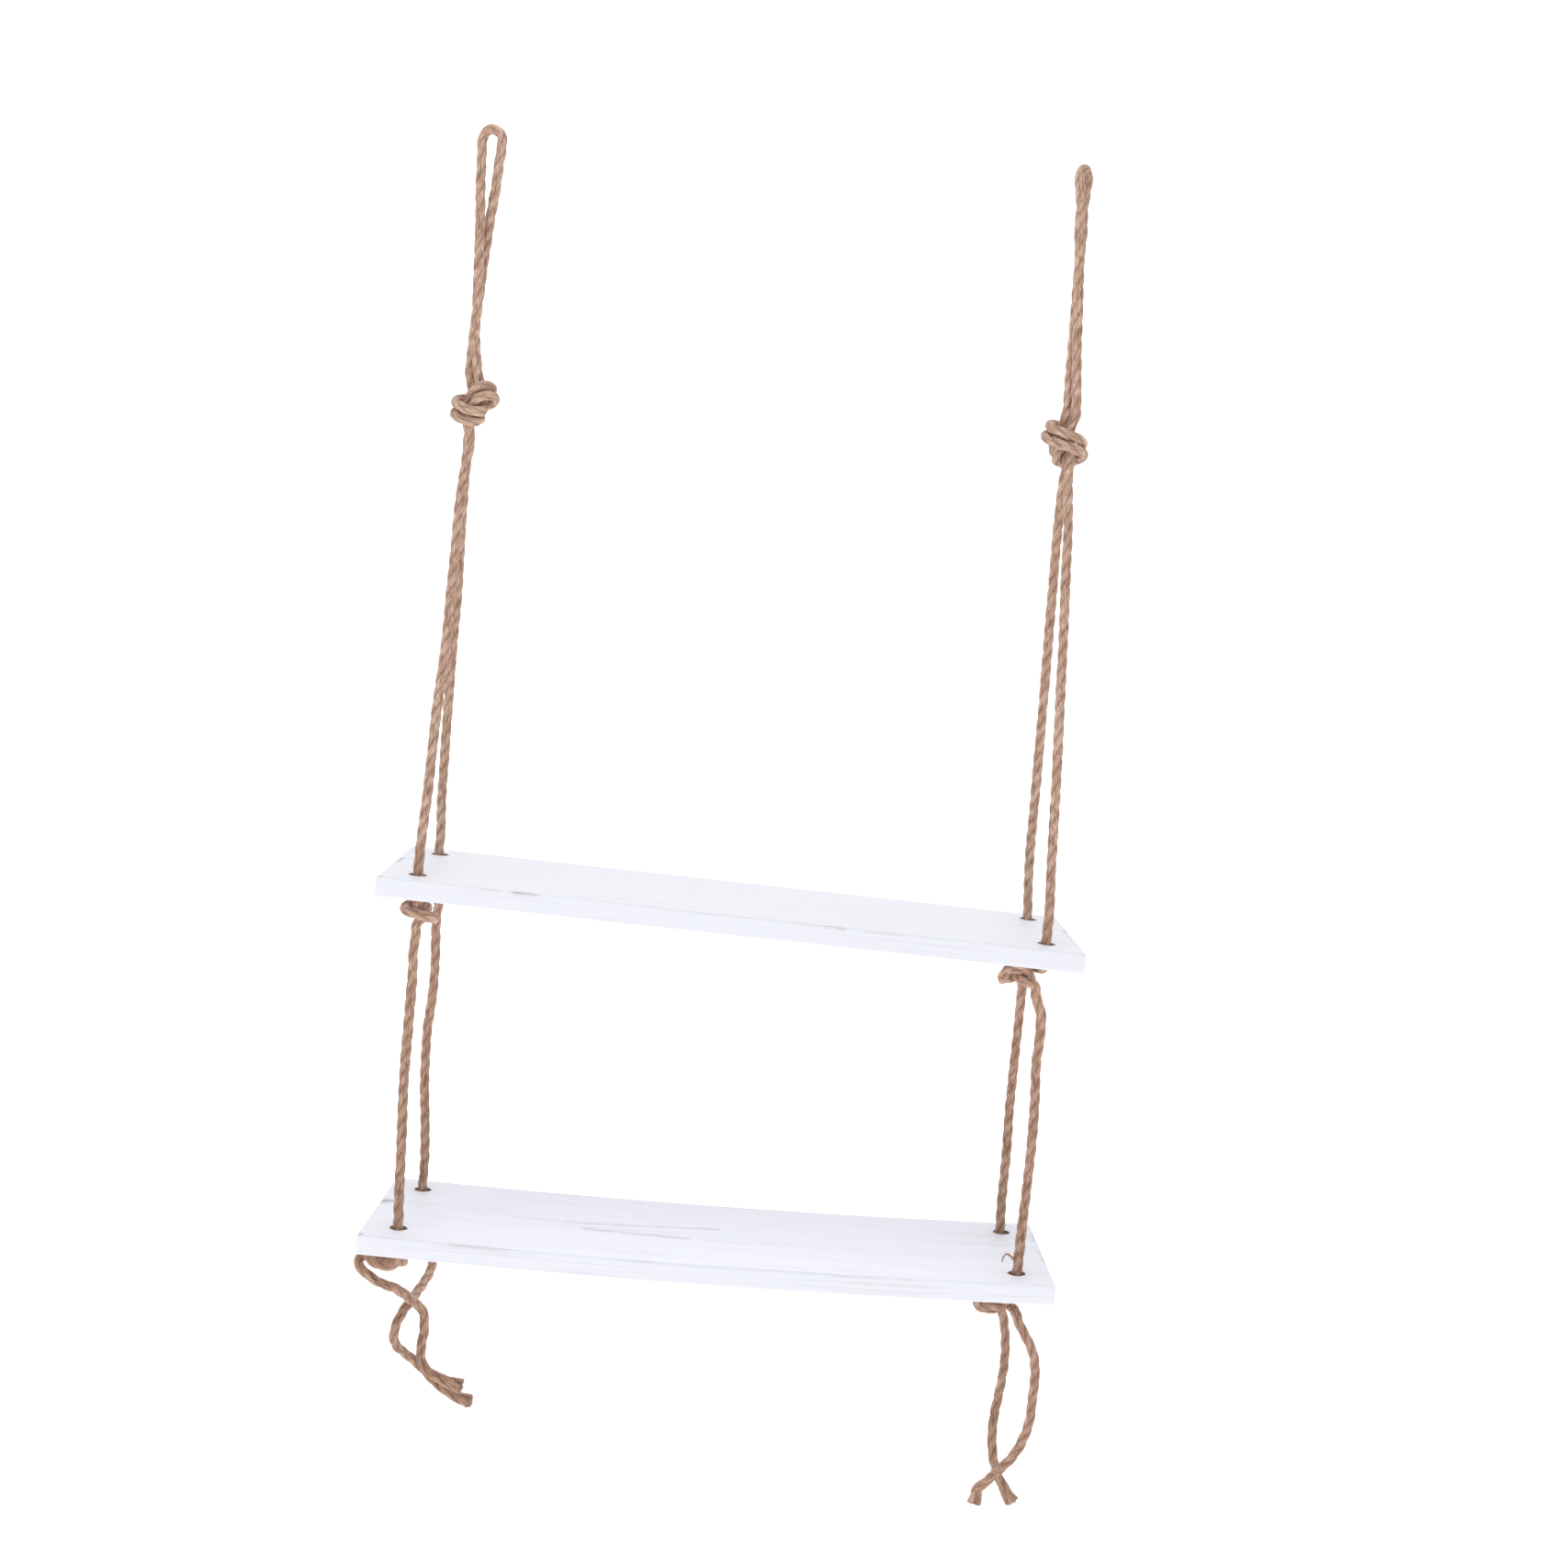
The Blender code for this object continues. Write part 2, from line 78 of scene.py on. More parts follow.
# Gap between pieces that meet, and the drop from a board's underside to a knot's middle
MEETING_GAP = 0.0003
KNOT_DROP = 0.0105
FLAT_KNOT_DROP = 0.0081

# Points that lead into an overhand knot at either end, left off the lowest knots
LEAD_POINTS = 2

# A flat knot, in rope diameters: its spread, the height of its two layers, how steeply the
# rope passes between them, and where its top lead stands from its middle
FLAT_SPREAD = 0.72
FLAT_LAYER = 0.64
FLAT_STEEPNESS = 1.5
FLAT_LEAD = 2.16

# Each side's rope: legs are points down the rope, loop rows are height, half gap and turn
ROPES = {
    "left": {
        "end": -1,
        "loop_x": 0.0002,
        "loop": [
            (-0.0027, 0.0058, 0),
            (-0.0180, 0.0052, 0),
            (-0.0320, 0.0045, 10),
            (-0.0460, 0.0036, 32),
            (-0.0640, 0.0033, 58),
            (-0.0880, 0.0033, 84),
            (-0.1060, 0.0033, 96),
            (-0.1200, 0.0033, 106),
        ],
        "loop_drift": -0.0034,
        "pair_knot": (-0.0024, 0.0, -0.1603),
        "pair_yaw": 35,
        "pair_crossed": False,
        "front_leg": [(-0.0040, -0.0085, -0.2129), (-0.0050, -0.0150, -0.2629), (-0.0056, -0.0220, -0.3049),
                      (-0.0074, -0.0300, -0.3469), (-0.0086, -0.0380, -0.3959), (-0.0097, -0.0440, -0.4259)],
        "back_leg": [(-0.0050, 0.0080, -0.2129), (-0.0060, 0.0165, -0.2689), (-0.0080, 0.0240, -0.3129),
                     (-0.0098, 0.0330, -0.3679), (-0.0110, 0.0400, -0.4089), (-0.0108, 0.0440, -0.4289)],
        "front_run": [(-0.0098, -0.0462, -0.4879), (-0.0095, -0.0460, -0.5039), (-0.0102, -0.0458, -0.5369),
                      (-0.0108, -0.0456, -0.5709), (-0.0099, -0.0454, -0.6049), (-0.0094, -0.0452, -0.6389)],
        "back_run": [(-0.0102, 0.0452, -0.4869), (-0.0092, 0.0452, -0.5199), (-0.0100, 0.0450, -0.5389),
                     (-0.0115, 0.0450, -0.5569), (-0.0112, 0.0452, -0.5909), (-0.0092, 0.0456, -0.6189),
                     (-0.0082, 0.0458, -0.6409)],
        "knots": {("upper", "front"): ("tall", 160, 0.0025), ("upper", "back"): ("tall", 20, 0.0),
                  ("lower", "front"): ("wrapped", 0, 0.0), ("lower", "back"): ("tall", -30, 0.0)},
    },
    "right": {
        "end": 1,
        "loop_x": 0.3562,
        "loop": [
            (0.0015, 0.0064, 60),
            (-0.0140, 0.0058, 74),
            (-0.0290, 0.0050, 70),
            (-0.0450, 0.0038, 82),
            (-0.0630, 0.0033, 90),
            (-0.0800, 0.0033, 97),
            (-0.0980, 0.0033, 106),
            (-0.1160, 0.0033, 122),
        ],
        "loop_drift": 0.0040,
        "pair_knot": (0.3612, 0.0, -0.1559),
        "pair_yaw": 210,
        "pair_crossed": True,
        "front_leg": [(0.3640, -0.0090, -0.2059), (0.3646, -0.0140, -0.2359), (0.3656, -0.0210, -0.2759),
                      (0.3664, -0.0265, -0.3159), (0.3674, -0.0330, -0.3609), (0.3680, -0.0400, -0.4109),
                      (0.3686, -0.0440, -0.4369)],
        "back_leg": [(0.3602, 0.0090, -0.2059), (0.3610, 0.0145, -0.2389), (0.3622, 0.0215, -0.2809),
                     (0.3632, 0.0275, -0.3259), (0.3642, 0.0350, -0.3759), (0.3650, 0.0410, -0.4159),
                     (0.3664, 0.0440, -0.4389)],
        "front_run": [(0.3684, -0.0462, -0.4979), (0.3694, -0.0462, -0.5129), (0.3686, -0.0460, -0.5289),
                      (0.3698, -0.0460, -0.5529), (0.3702, -0.0458, -0.5809), (0.3696, -0.0458, -0.6069),
                      (0.3688, -0.0458, -0.6369)],
        "back_run": [(0.3678, 0.0462, -0.4979), (0.3679, 0.0462, -0.5209), (0.3674, 0.0460, -0.5489),
                     (0.3670, 0.0460, -0.5809), (0.3675, 0.0458, -0.6109), (0.3672, 0.0458, -0.6409)],
        "knots": {("upper", "front"): ("mirrored", 150, 0.0), ("upper", "back"): ("tall", 175, 0.0),
                  ("lower", "front"): ("flat", 130, 0.0), ("lower", "back"): ("tall", 0, 0.0)},
    },
}

# The four loose ends below the lowest knots, points down the rope
TAIL_ROUTES = {
    "left_front_tail": [(-0.0336, -0.0315, -0.6858), (-0.0328, -0.0343, -0.6888), (-0.0290, -0.0366, -0.6915),
                        (-0.0240, -0.0367, -0.6952), (-0.0183, -0.0332, -0.6995), (-0.0105, -0.0250, -0.7050),
                        (-0.0020, -0.0140, -0.7154), (0.0045, -0.0085, -0.7239), (0.0060, -0.0085, -0.7354),
                        (0.0055, -0.0140, -0.7459), (0.0085, -0.0215, -0.7534), (0.0155, -0.0270, -0.7569),
                        (0.0245, -0.0305, -0.7589), (0.0340, -0.0330, -0.7614)],
    "left_back_tail": [(-0.0058, 0.0448, -0.6944), (-0.0015, 0.0418, -0.6994), (0.0022, 0.0365, -0.7039),
                       (0.0030, 0.0290, -0.7084), (0.0008, 0.0180, -0.7134), (-0.0030, 0.0050, -0.7181),
                       (-0.0066, -0.0085, -0.7224), (-0.0096, -0.0190, -0.7284), (-0.0108, -0.0220, -0.7359),
                       (-0.0090, -0.0190, -0.7434), (-0.0030, -0.0130, -0.7509), (0.0055, -0.0105, -0.7584),
                       (0.0145, -0.0145, -0.7649), (0.0255, -0.0220, -0.7694), (0.0395, -0.0290, -0.7719)],
    "right_front_tail": [(0.3716, -0.0462, -0.6890), (0.3745, -0.0466, -0.6945), (0.3785, -0.0452, -0.7010),
                         (0.3822, -0.0430, -0.7085),
                         (0.3845, -0.0405, -0.7149), (0.3862, -0.0375, -0.7269), (0.3864, -0.0345, -0.7409),
                         (0.3862, -0.0312, -0.7579), (0.3835, -0.0285, -0.7709), (0.3785, -0.0262, -0.7829),
                         (0.3710, -0.0243, -0.7929), (0.3638, -0.0228, -0.8017), (0.3590, -0.0215, -0.8081),
                         (0.3580, -0.0205, -0.8159)],
    "right_back_tail": [(0.3700, 0.0449, -0.6944), (0.3716, 0.0450, -0.7019), (0.3730, 0.0444, -0.7119),
                        (0.3756, 0.0424, -0.7219), (0.3770, 0.0385, -0.7349), (0.3764, 0.0330, -0.7489),
                        (0.3742, 0.0275, -0.7619), (0.3714, 0.0215, -0.7759), (0.3706, 0.0160, -0.7889),
                        (0.3724, 0.0100, -0.8019), (0.3766, 0.0055, -0.8119), (0.3850, 0.0010, -0.8234)],
}
TAILS = {
    "left_front_tail": {"side": "left", "edge": "front", "length": 0.137, "flare": 1.0},
    "left_back_tail": {"side": "left", "edge": "back", "length": 0.164, "flare": 0.75},
    "right_front_tail": {"side": "right", "edge": "front", "length": 0.147, "flare": 0.8},
    "right_back_tail": {"side": "right", "edge": "back", "length": 0.146, "flare": 0.85},
}

# A cut end's strands part over this length, out to these extra shares of offset and radius
FLARE_LENGTH = 0.019
FLARE_OFFSET = 1.7
FLARE_RADIUS = 0.24
FLARE_UNTWIST = 1.4

# One thick yarn end that has come loose and curls over beside the right rope
LOOSE_YARN = [(0.3668, -0.0462, -0.6520), (0.3648, -0.0478, -0.6500), (0.3626, -0.0485, -0.6480),
              (0.3606, -0.0486, -0.6473), (0.3590, -0.0485, -0.6492), (0.3582, -0.0483, -0.6530)]
LOOSE_YARN_RADIUS = 0.0010


def board_place(board):
    """Return the matrix from a board's own frame, origin in the middle of its top face."""
    tilt_x, tilt_y, tilt_z = (math.radians(angle) for angle in board["tilt"])
    turn = Matrix.Rotation(tilt_z, 4, "Z") @ Matrix.Rotation(tilt_y, 4, "Y") @ Matrix.Rotation(tilt_x, 4, "X")
    return Matrix.Translation(board["middle"]) @ turn


def hole_centre(board, end, edge, depth):
    """Return a point on a hole's axis, depth below the top face."""
    across = end * (board["length"] / 2 - HOLE_FROM_END)
    along = edge * (BOARD_DEPTH / 2 - HOLE_FROM_EDGE)
    return board_place(board) @ Vector((across, along, -depth - sag(board, across)))


def sag(board, across):
    """Return how far a board sags at a distance along it from its middle."""
    return board["bow"] * (1 - (2 * across / board["length"]) ** 2)


def single_knot(steps=26):
    """Return an overhand knot's centreline, bottom to top, in rope diameters."""
    points = [Vector((0.16, 0.0, -2.25)), Vector((0.24, 0.0, -1.62))]
    for step in range(steps + 1):
        turn = math.pi * (2 * step / steps - 1)
        x = -0.71 * math.sin(turn) - 1.01 * math.sin(2 * turn)
        y = -0.40 + 0.47 * math.cos(turn) + 0.87 * math.cos(2 * turn)
        z = 0.32 * turn - 1.13 * math.sin(turn) + 0.23 * math.sin(2 * turn)
        points.append(Vector((x, y, z)))
    points += [Vector((-0.24, 0.0, 1.62)), Vector((-0.16, 0.0, 2.25))]
    return points


def pair_knot(steps=46):
    """Return the two strands of a doubled overhand knot, each bottom to top, in rope diameters."""
    first = []
    for step in range(steps + 1):
        turn = math.pi * (2 * step / steps - 1)
        sines = [math.sin(wave * turn) for wave in (1, 2, 3)]
        cosines = [math.cos(wave * turn) for wave in (1, 2, 3)]
        middle = Vector((
            -0.46 * sines[0] - 1.14 * sines[1] - 0.42 * sines[2],
            -0.71 + 0.17 * cosines[0] + 1.30 * cosines[1] + 0.42 * cosines[2],
            0.99 * turn - 2.51 * sines[0] - 0.05 * sines[1] + 0.22 * sines[2],
        ))
        apart = Vector((
            0.01 - 0.04 * cosines[0] + 0.16 * cosines[1] + 0.07 * cosines[2],
            -0.16 * turn - 0.05 * sines[0] + 0.10 * sines[1] + 0.07 * sines[2],
            0.42 + 0.19 * cosines[0] + 0.03 * cosines[1] - 0.05 * cosines[2],
        ))
        first.append(middle + apart)
    second = [Vector((-point.x, point.y, -point.z)) for point in reversed(first)]
    return first, second


def placed(points, centre, yaw):
    """Scale a knot from rope diameters to metres and set it at its centre."""
    turn = Matrix.Rotation(math.radians(yaw), 3, "Z")
    return [Vector(centre) + turn @ (point * ROPE_DIAMETER) for point in points]


def flat_lobes():
    """Return the crossing lobes of an overhand knot pressed flat, top end to bottom end."""
    points = []
    for degrees in range(202, 503, 12):
        turn = math.radians(degrees)
        x = FLAT_SPREAD * (math.cos(turn) - 2 * math.cos(2 * turn))
        y = FLAT_SPREAD * (math.sin(turn) + 2 * math.sin(2 * turn))
        z = -FLAT_LAYER * max(-1.0, min(1.0, FLAT_STEEPNESS * math.sin(3 * turn)))
        points.append(Vector((x, y, z)))
    points[0].z = points[1].z = FLAT_LAYER
    return points


def flat_knot():
    """Return a flat overhand knot's centreline, bottom to top, in rope diameters.

    Its top lead stands on the Z axis and its lobes lie to the +X side.
    """
    points = [Vector((-FLAT_LEAD, 0, 2.4)), Vector((-FLAT_LEAD, 0, 1.7)), Vector((-2.13, 0.03, 1.12))]
    points += flat_lobes()
    points += [Vector((-1.27, -0.92, -0.67)), Vector((-1.66, -0.75, -0.86)),
               Vector((-1.88, -0.65, -1.25)), Vector((-1.88, -0.65, -1.9))]
    return [point + Vector((FLAT_LEAD, 0, 0)) for point in reversed(points)]


def wrapped_knot():
    """Return a flat overhand knot whose top lead first runs round its front, bottom to top."""
    lead = Vector((1.05, -2.95, 0))
    wrap = [(1.05, -2.95, 2.4), (1.05, -2.95, 1.2), (1.05, -2.95, 0.2), (0.80, -2.97, -0.40),
            (0.20, -2.97, -0.62), (-0.45, -2.80, -0.62), (-1.20, -2.45, -0.50), (-1.80, -1.92, -0.15),
            (-2.14, -1.32, 0.35), (-2.26, -0.70, 0.66), (-2.20, -0.05, 0.70)]
    leave = [(-1.27, -0.92, -0.64), (-1.66, -0.75, -0.62), (-2.10, -0.60, -0.60),
             (-2.50, -0.52, -0.62), (-2.85, -0.50, -0.75)]
    points = [Vector(point) for point in wrap] + flat_lobes() + [Vector(point) for point in leave]
    return [point - lead for point in reversed(points)]


def hole_knot(rope, tier, edge_name):
    """Return the overhand knot pressed under one hole, bottom to top.

    A tall knot hangs a little to one side: its shift grows down its top lead.
    """
    edge = -1 if edge_name == "front" else 1
    style, yaw, shift = rope["knots"][(tier, edge_name)]
    below = hole_centre(BOARDS[tier], rope["end"], edge, BOARD_THICKNESS)
    if style == "tall":
        knot = placed(single_knot(), below - Vector((0, 0, KNOT_DROP)), yaw)
        for height, point in enumerate(reversed(knot)):
            point.x += shift * min(1.0, height / 3)
        return knot
    points = wrapped_knot() if style == "wrapped" else flat_knot()
    if style == "mirrored":
        points = [Vector((point.x, -point.y, point.z)) for point in points]
    return placed(points, below - Vector((0, 0, FLAT_KNOT_DROP)), yaw)


def loop_strands(rope):
    """Return the hanging loop's two strands: the first to its top, the second down from it."""
    rise, fall = [], []
    lowest = rope["loop"][-1][0]
    for height, half_gap, turn in rope["loop"]:
        angle = math.radians(turn)
        offset = Vector((half_gap * math.cos(angle), half_gap * math.sin(angle), 0))
        middle = Vector((rope["loop_x"] + rope["loop_drift"] * height / lowest, 0, height))
        rise.append(middle + offset)
        fall.append(middle - offset)
    top_height, top_gap, top_turn = rope["loop"][0]
    facing = math.radians(top_turn)
    crown = []
    for angle in (45, 90, 135):
        side = top_gap * math.cos(math.radians(angle))
        lift = top_gap * math.sin(math.radians(angle))
        crown.append(Vector((rope["loop_x"] + side * math.cos(facing), side * math.sin(facing),
                             top_height + lift)))
    return list(reversed(rise)) + crown + fall


def rope_route(rope):
    """Return the rope's route points from under the lower front knot to under the lower back one."""
    first, second = pair_knot()
    if rope["pair_crossed"]:
        first, second = second, first
    strand_down = placed(first, rope["pair_knot"], rope["pair_yaw"])
    strand_up = placed(second, rope["pair_knot"], rope["pair_yaw"])
    route = hole_knot(rope, "lower", "front")[LEAD_POINTS:]
    route += [Vector(point) for point in reversed(rope["front_run"])]
    route += hole_knot(rope, "upper", "front")
    route += [Vector(point) for point in reversed(rope["front_leg"])]
    route += strand_up
    route += loop_strands(rope)
    route += list(reversed(strand_down))
    route += [Vector(point) for point in rope["back_leg"]]
    route += list(reversed(hole_knot(rope, "upper", "back")))
    route += [Vector(point) for point in rope["back_run"]]
    route += list(reversed(hole_knot(rope, "lower", "back")))[:-LEAD_POINTS]
    return route


def tail_route(name):
    """Return one loose end's route, starting just clear of the knot above it."""
    tail = TAILS[name]
    knot = hole_knot(ROPES[tail["side"]], "lower", tail["edge"])[LEAD_POINTS:]
    away = (knot[0] - knot[1]).normalized()
    start = knot[0] + away * MEETING_GAP
    return [start, start + away * ROPE_DIAMETER / 2] + [Vector(point) for point in TAIL_ROUTES[name]]


def spline_point(corners, times, at):
    """Return one point of a centripetal spline, between its two middle corners."""
    def between(low, high, start, stop):
        return low + (high - low) * ((at - start) / (stop - start))

    early = between(corners[0], corners[1], times[0], times[1])
    middle = between(corners[1], corners[2], times[1], times[2])
    late = between(corners[2], corners[3], times[2], times[3])
    first = between(early, middle, times[0], times[2])
    second = between(middle, late, times[1], times[3])
    return between(first, second, times[1], times[2])


def smooth_curve(points, spacing=CENTRELINE_SPACING):
    """Return closely spaced points on a smooth curve through the route points."""
    ends = [2 * points[0] - points[1]] + points + [2 * points[-1] - points[-2]]
    fine = []
    for before, start, stop, after in zip(ends, ends[1:], ends[2:], ends[3:]):
        times = [0.0]
        for low, high in ((before, start), (start, stop), (stop, after)):
            times.append(times[-1] + math.sqrt((high - low).length))
        count = max(2, int((stop - start).length / spacing))
        for step in range(count):
            at = times[1] + (times[2] - times[1]) * step / count
            fine.append(spline_point((before, start, stop, after), times, at))
    fine.append(points[-1].copy())
    return fine


class RopeLine:
    """A rope's smooth centreline with a steady side direction carried along it."""

    def __init__(self, route):
        self.points = smooth_curve(route)
        self.travel = [0.0]
        for low, high in zip(self.points, self.points[1:]):
            self.travel.append(self.travel[-1] + (high - low).length)
        heading = (self.points[1] - self.points[0]).normalized()
        side = heading.orthogonal().normalized()
        self.headings, self.sides = [heading], [side]
        last = len(self.points) - 1
        for index in range(1, last + 1):
            ahead = self.points[min(last, index + 1)] - self.points[index - 1]
            turned = ahead.normalized()
            side = heading.rotation_difference(turned) @ side
            heading = turned
            side = (side - heading * side.dot(heading)).normalized()
            self.headings.append(heading)
            self.sides.append(side)

    @property
    def length(self):
        return self.travel[-1]

    def bend(self, index):
        """Return how far the line turns near a point, in radians a metre."""
        low = max(0, index - BEND_REACH)
        high = min(len(self.points) - 1, index + BEND_REACH)
        if index in (low, high):
            return 0.0
        arriving = self.points[index] - self.points[low]
        leaving = self.points[high] - self.points[index]
        return 2 * arriving.angle(leaving) / (arriving.length + leaving.length)

    def stations(self):
        """Return the point numbers at which the rope's rings stand."""
        chosen = [0]
        for index in range(1, len(self.points) - 1):
            step = RING_STEP_IN_BEND if self.bend(index) > TIGHT_BEND else RING_STEP
            if self.travel[index] - self.travel[chosen[-1]] >= step:
                chosen.append(index)
        chosen.append(len(self.points) - 1)
        return chosen

    def direction(self, index, angle):
        """Return the direction across the line, at an angle from its steady side."""
        side = self.sides[index]
        return side * math.cos(angle) + self.headings[index].cross(side) * math.sin(angle)


def tube(bm, rings, corners):
    """Add a tube closed at both ends and return its corners, ring by ring."""
    made = bmesh.ops.create_grid(bm, x_segments=corners, y_segments=rings - 1, size=0.5)["verts"]
    grid = [[None] * (corners + 1) for _ in range(rings)]
    for vert in made:
        grid[round((vert.co.y + 0.5) * (rings - 1))][round((vert.co.x + 0.5) * corners)] = vert
    bmesh.ops.weld_verts(bm, targetmap={row[-1]: row[0] for row in grid})
    grid = [row[:-1] for row in grid]
    for closing in (grid[0], grid[-1]):
        bmesh.ops.contextual_create(bm, geom=closing)
    return grid


def strand_shape(corner, open_up):
    """Return one corner's radius and its depth in the groove, before the strands' own unevenness.

    Corner 0 is a strand's crest. open_up parts the strands at a cut end.
    """
    from_crest = corner % CORNERS_PER_STRAND
    if from_crest > CORNERS_PER_STRAND / 2:
        from_crest -= CORNERS_PER_STRAND
    angle = abs(from_crest) * 2 * math.pi / (STRANDS * CORNERS_PER_STRAND)
    offset = STRAND_OFFSET * (1 + FLARE_OFFSET * open_up)
    strand = STRAND_RADIUS * (1 + FLARE_RADIUS * open_up)
    across = offset * math.sin(angle)
    radius = offset * math.cos(angle) + math.sqrt(max(0.0, strand ** 2 - across ** 2))
    return radius, angle / (math.pi / STRANDS)


def lay_rope(bm, line, seed, flare=0.0):
    """Lay one rope along its line: three strands with uneven yarns, parted by flare at its end."""
    laid = bm.verts.layers.float_vector["laid"]
    groove = bm.verts.layers.float["groove"]
    corners = STRANDS * CORNERS_PER_STRAND
    stations = line.stations()
    for index, ring in zip(stations, tube(bm, len(stations), corners)):
        travel = line.travel[index]
        near_end = max(0.0, 1 - (line.length - travel) / FLARE_LENGTH)
        open_up = flare * near_end ** 1.5
        twist = 2 * math.pi * travel / LAY_LENGTH - FLARE_UNTWIST * open_up
        girth = 1 + 0.07 * noise.noise(Vector((seed * 3.7, travel * 38, 0.5)))
        for corner, vert in enumerate(ring):
            radius, depth = strand_shape(corner, open_up)
            strand = corner // CORNERS_PER_STRAND
            yarn = noise.noise(Vector((strand * 9.1 + seed, travel * 110, corner * 0.05)))
            fine = noise.noise(Vector((corner * 0.9 + seed, travel * 620, strand)))
            radius *= girth * (1 + 0.05 * yarn + 0.03 * fine)
            angle = twist + 2 * math.pi * corner / corners
            vert.co = line.points[index] + radius * line.direction(index, angle)
            vert[laid] = Vector((radius * math.cos(angle), radius * math.sin(angle), travel + seed))
            vert[groove] = depth


def add_hair(bm, points, radius, seed, sides=3):
    """Add one loose fibre: a thin tapering tube through its points."""
    laid = bm.verts.layers.float_vector["laid"]
    groove = bm.verts.layers.float["groove"]
    heading = (points[1] - points[0]).normalized()
    side = heading.orthogonal().normalized()
    for number, (point, ring) in enumerate(zip(points, tube(bm, len(points), sides))):
        if number:
            turned = (points[min(number + 1, len(points) - 1)] - points[number - 1]).normalized()
            side = heading.rotation_difference(turned) @ side
            heading = turned
        thin = radius * (1 - 0.6 * number / (len(points) - 1))
        for corner, vert in enumerate(ring):
            vert.co = point + thin * (Quaternion(heading, corner * 2 * math.pi / sides) @ side)
            vert[laid] = Vector((thin * corner, seed * 0.001, seed + number * 0.002))
            vert[groove] = 0.1


def add_fuzz(bm, line, count, draws):
    """Add short loose fibres that leave the rope's surface and curl away."""
    for number in range(count):
        index = draws.randrange(8, len(line.points) - 8)
        heading = line.headings[index] * draws.choice((-1, 1))
        out = line.direction(index, draws.uniform(0, 2 * math.pi))
        across = heading.cross(out)
        reach = draws.uniform(0.0012, 0.0034)
        curl = draws.uniform(-0.7, 0.7)
        start = line.points[index] + out * ROPE_DIAMETER * 0.40
        points = []
        for step in range(5):
            far = step / 4
            points.append(start + reach * (heading * (1.5 * far) + out * far * (1.0 - 0.35 * far)
                                           + across * curl * far ** 2))
        add_hair(bm, points, draws.uniform(0.00005, 0.00009), number)


def add_brush(bm, line, count, flare, draws):
    """Add the frayed fibres of a rope's cut end, fanning from its last ring."""
    last = len(line.points) - 1
    heading = line.headings[last]
    for number in range(count):
        angle = draws.uniform(0, 2 * math.pi)
        out = line.direction(last, angle)
        inner = draws.uniform(0.1, 0.95) * ROPE_DIAMETER / 2 * (1 + 0.5 * flare)
        start = line.points[last] + out * inner - heading * 0.0012
        reach = draws.uniform(0.0016, 0.0034)
        lean = draws.uniform(0.05, 0.30) * inner / (ROPE_DIAMETER / 2)
        bow = draws.uniform(-0.2, 0.2)
        points = []
        for step in range(4):
            far = step / 3
            points.append(start + reach * (heading * far + out * lean * far ** 1.5
                                           + heading.cross(out) * bow * far ** 2))
        add_hair(bm, points, draws.uniform(0.00012, 0.00024), number)


def new_rope_mesh():
    bm = bmesh.new()
    bm.verts.layers.float_vector.new("laid")
    bm.verts.layers.float.new("groove")
    return bm


def rope_piece(name, bm, material):
    """Turn a rope's mesh into a smooth piece in its jute finish."""
    bmesh.ops.recalc_face_normals(bm, faces=bm.faces)
    mesh = bpy.data.meshes.new(name)
    bm.to_mesh(mesh)
    bm.free()
    mesh.shade_smooth()
    piece = bpy.data.objects.new(name, mesh)
    scene.collection.objects.link(piece)
    mesh.materials.append(material)
    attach(piece, "root")
    return piece


def make_rope(side, material, seed):
    """One side's rope, from its lower front knot up to the loop and down to its lower back knot."""
    name = side + "_rope"
    line = RopeLine(rope_route(ROPES[side]))
    bm = new_rope_mesh()
    lay_rope(bm, line, seed)
    add_fuzz(bm, line, 260, random.Random(11 + seed))
    if side == "right":
        curl = smooth_curve([Vector(point) for point in LOOSE_YARN])[::2]
        add_hair(bm, curl, LOOSE_YARN_RADIUS, seed, sides=8)
    piece = rope_piece(side + "_jute_rope", bm, material)
    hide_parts(name)
    return piece


def make_tail(name, material, seed):
    """One loose end with its frayed tip."""
    line = RopeLine(tail_route(name))
    bm = new_rope_mesh()
    flare = TAILS[name]["flare"]
    lay_rope(bm, line, seed, flare)
    draws = random.Random(31 + seed)
    add_fuzz(bm, line, 22, draws)
    add_brush(bm, line, 54, flare, draws)
    piece = rope_piece(name + "_jute", bm, material)
    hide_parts(name)
    [tuple(line.points[index]) for index in line.stations()]
    return piece


def make_camera():
    data = bpy.data.cameras.new("photo camera")
    data.lens = CAMERA_LENS
    data.sensor_width = CAMERA_SENSOR
    camera = bpy.data.objects.new("photo camera", data)
    camera.location = CAMERA_PLACE
    camera.rotation_euler = [math.radians(angle) for angle in CAMERA_TURN]
    scene.collection.objects.link(camera)
    scene.camera = camera


def add_node(tree, kind, inputs=None, **settings):
    """Add a shader node, set its settings and the values or links of its inputs."""
    made = tree.nodes.new(kind)
    for key, value in settings.items():
        setattr(made, key, value)
    for key, value in (inputs or {}).items():
        if isinstance(value, bpy.types.NodeSocket):
            tree.links.new(value, made.inputs[key])
        else:
            made.inputs[key].default_value = value
    return made


def ramp(tree, value, stops):
    """Map a value through colour stops: place and grey level, or place and colour."""
    made = add_node(tree, "ShaderNodeValToRGB", {"Fac": value})
    bar = made.color_ramp
    while len(bar.elements) < len(stops):
        bar.elements.new(0.5)
    for element, (place, colour) in zip(bar.elements, stops):
        element.position = place
        element.color = (colour, colour, colour, 1.0) if isinstance(colour, float) else colour
    return made.outputs["Color"]


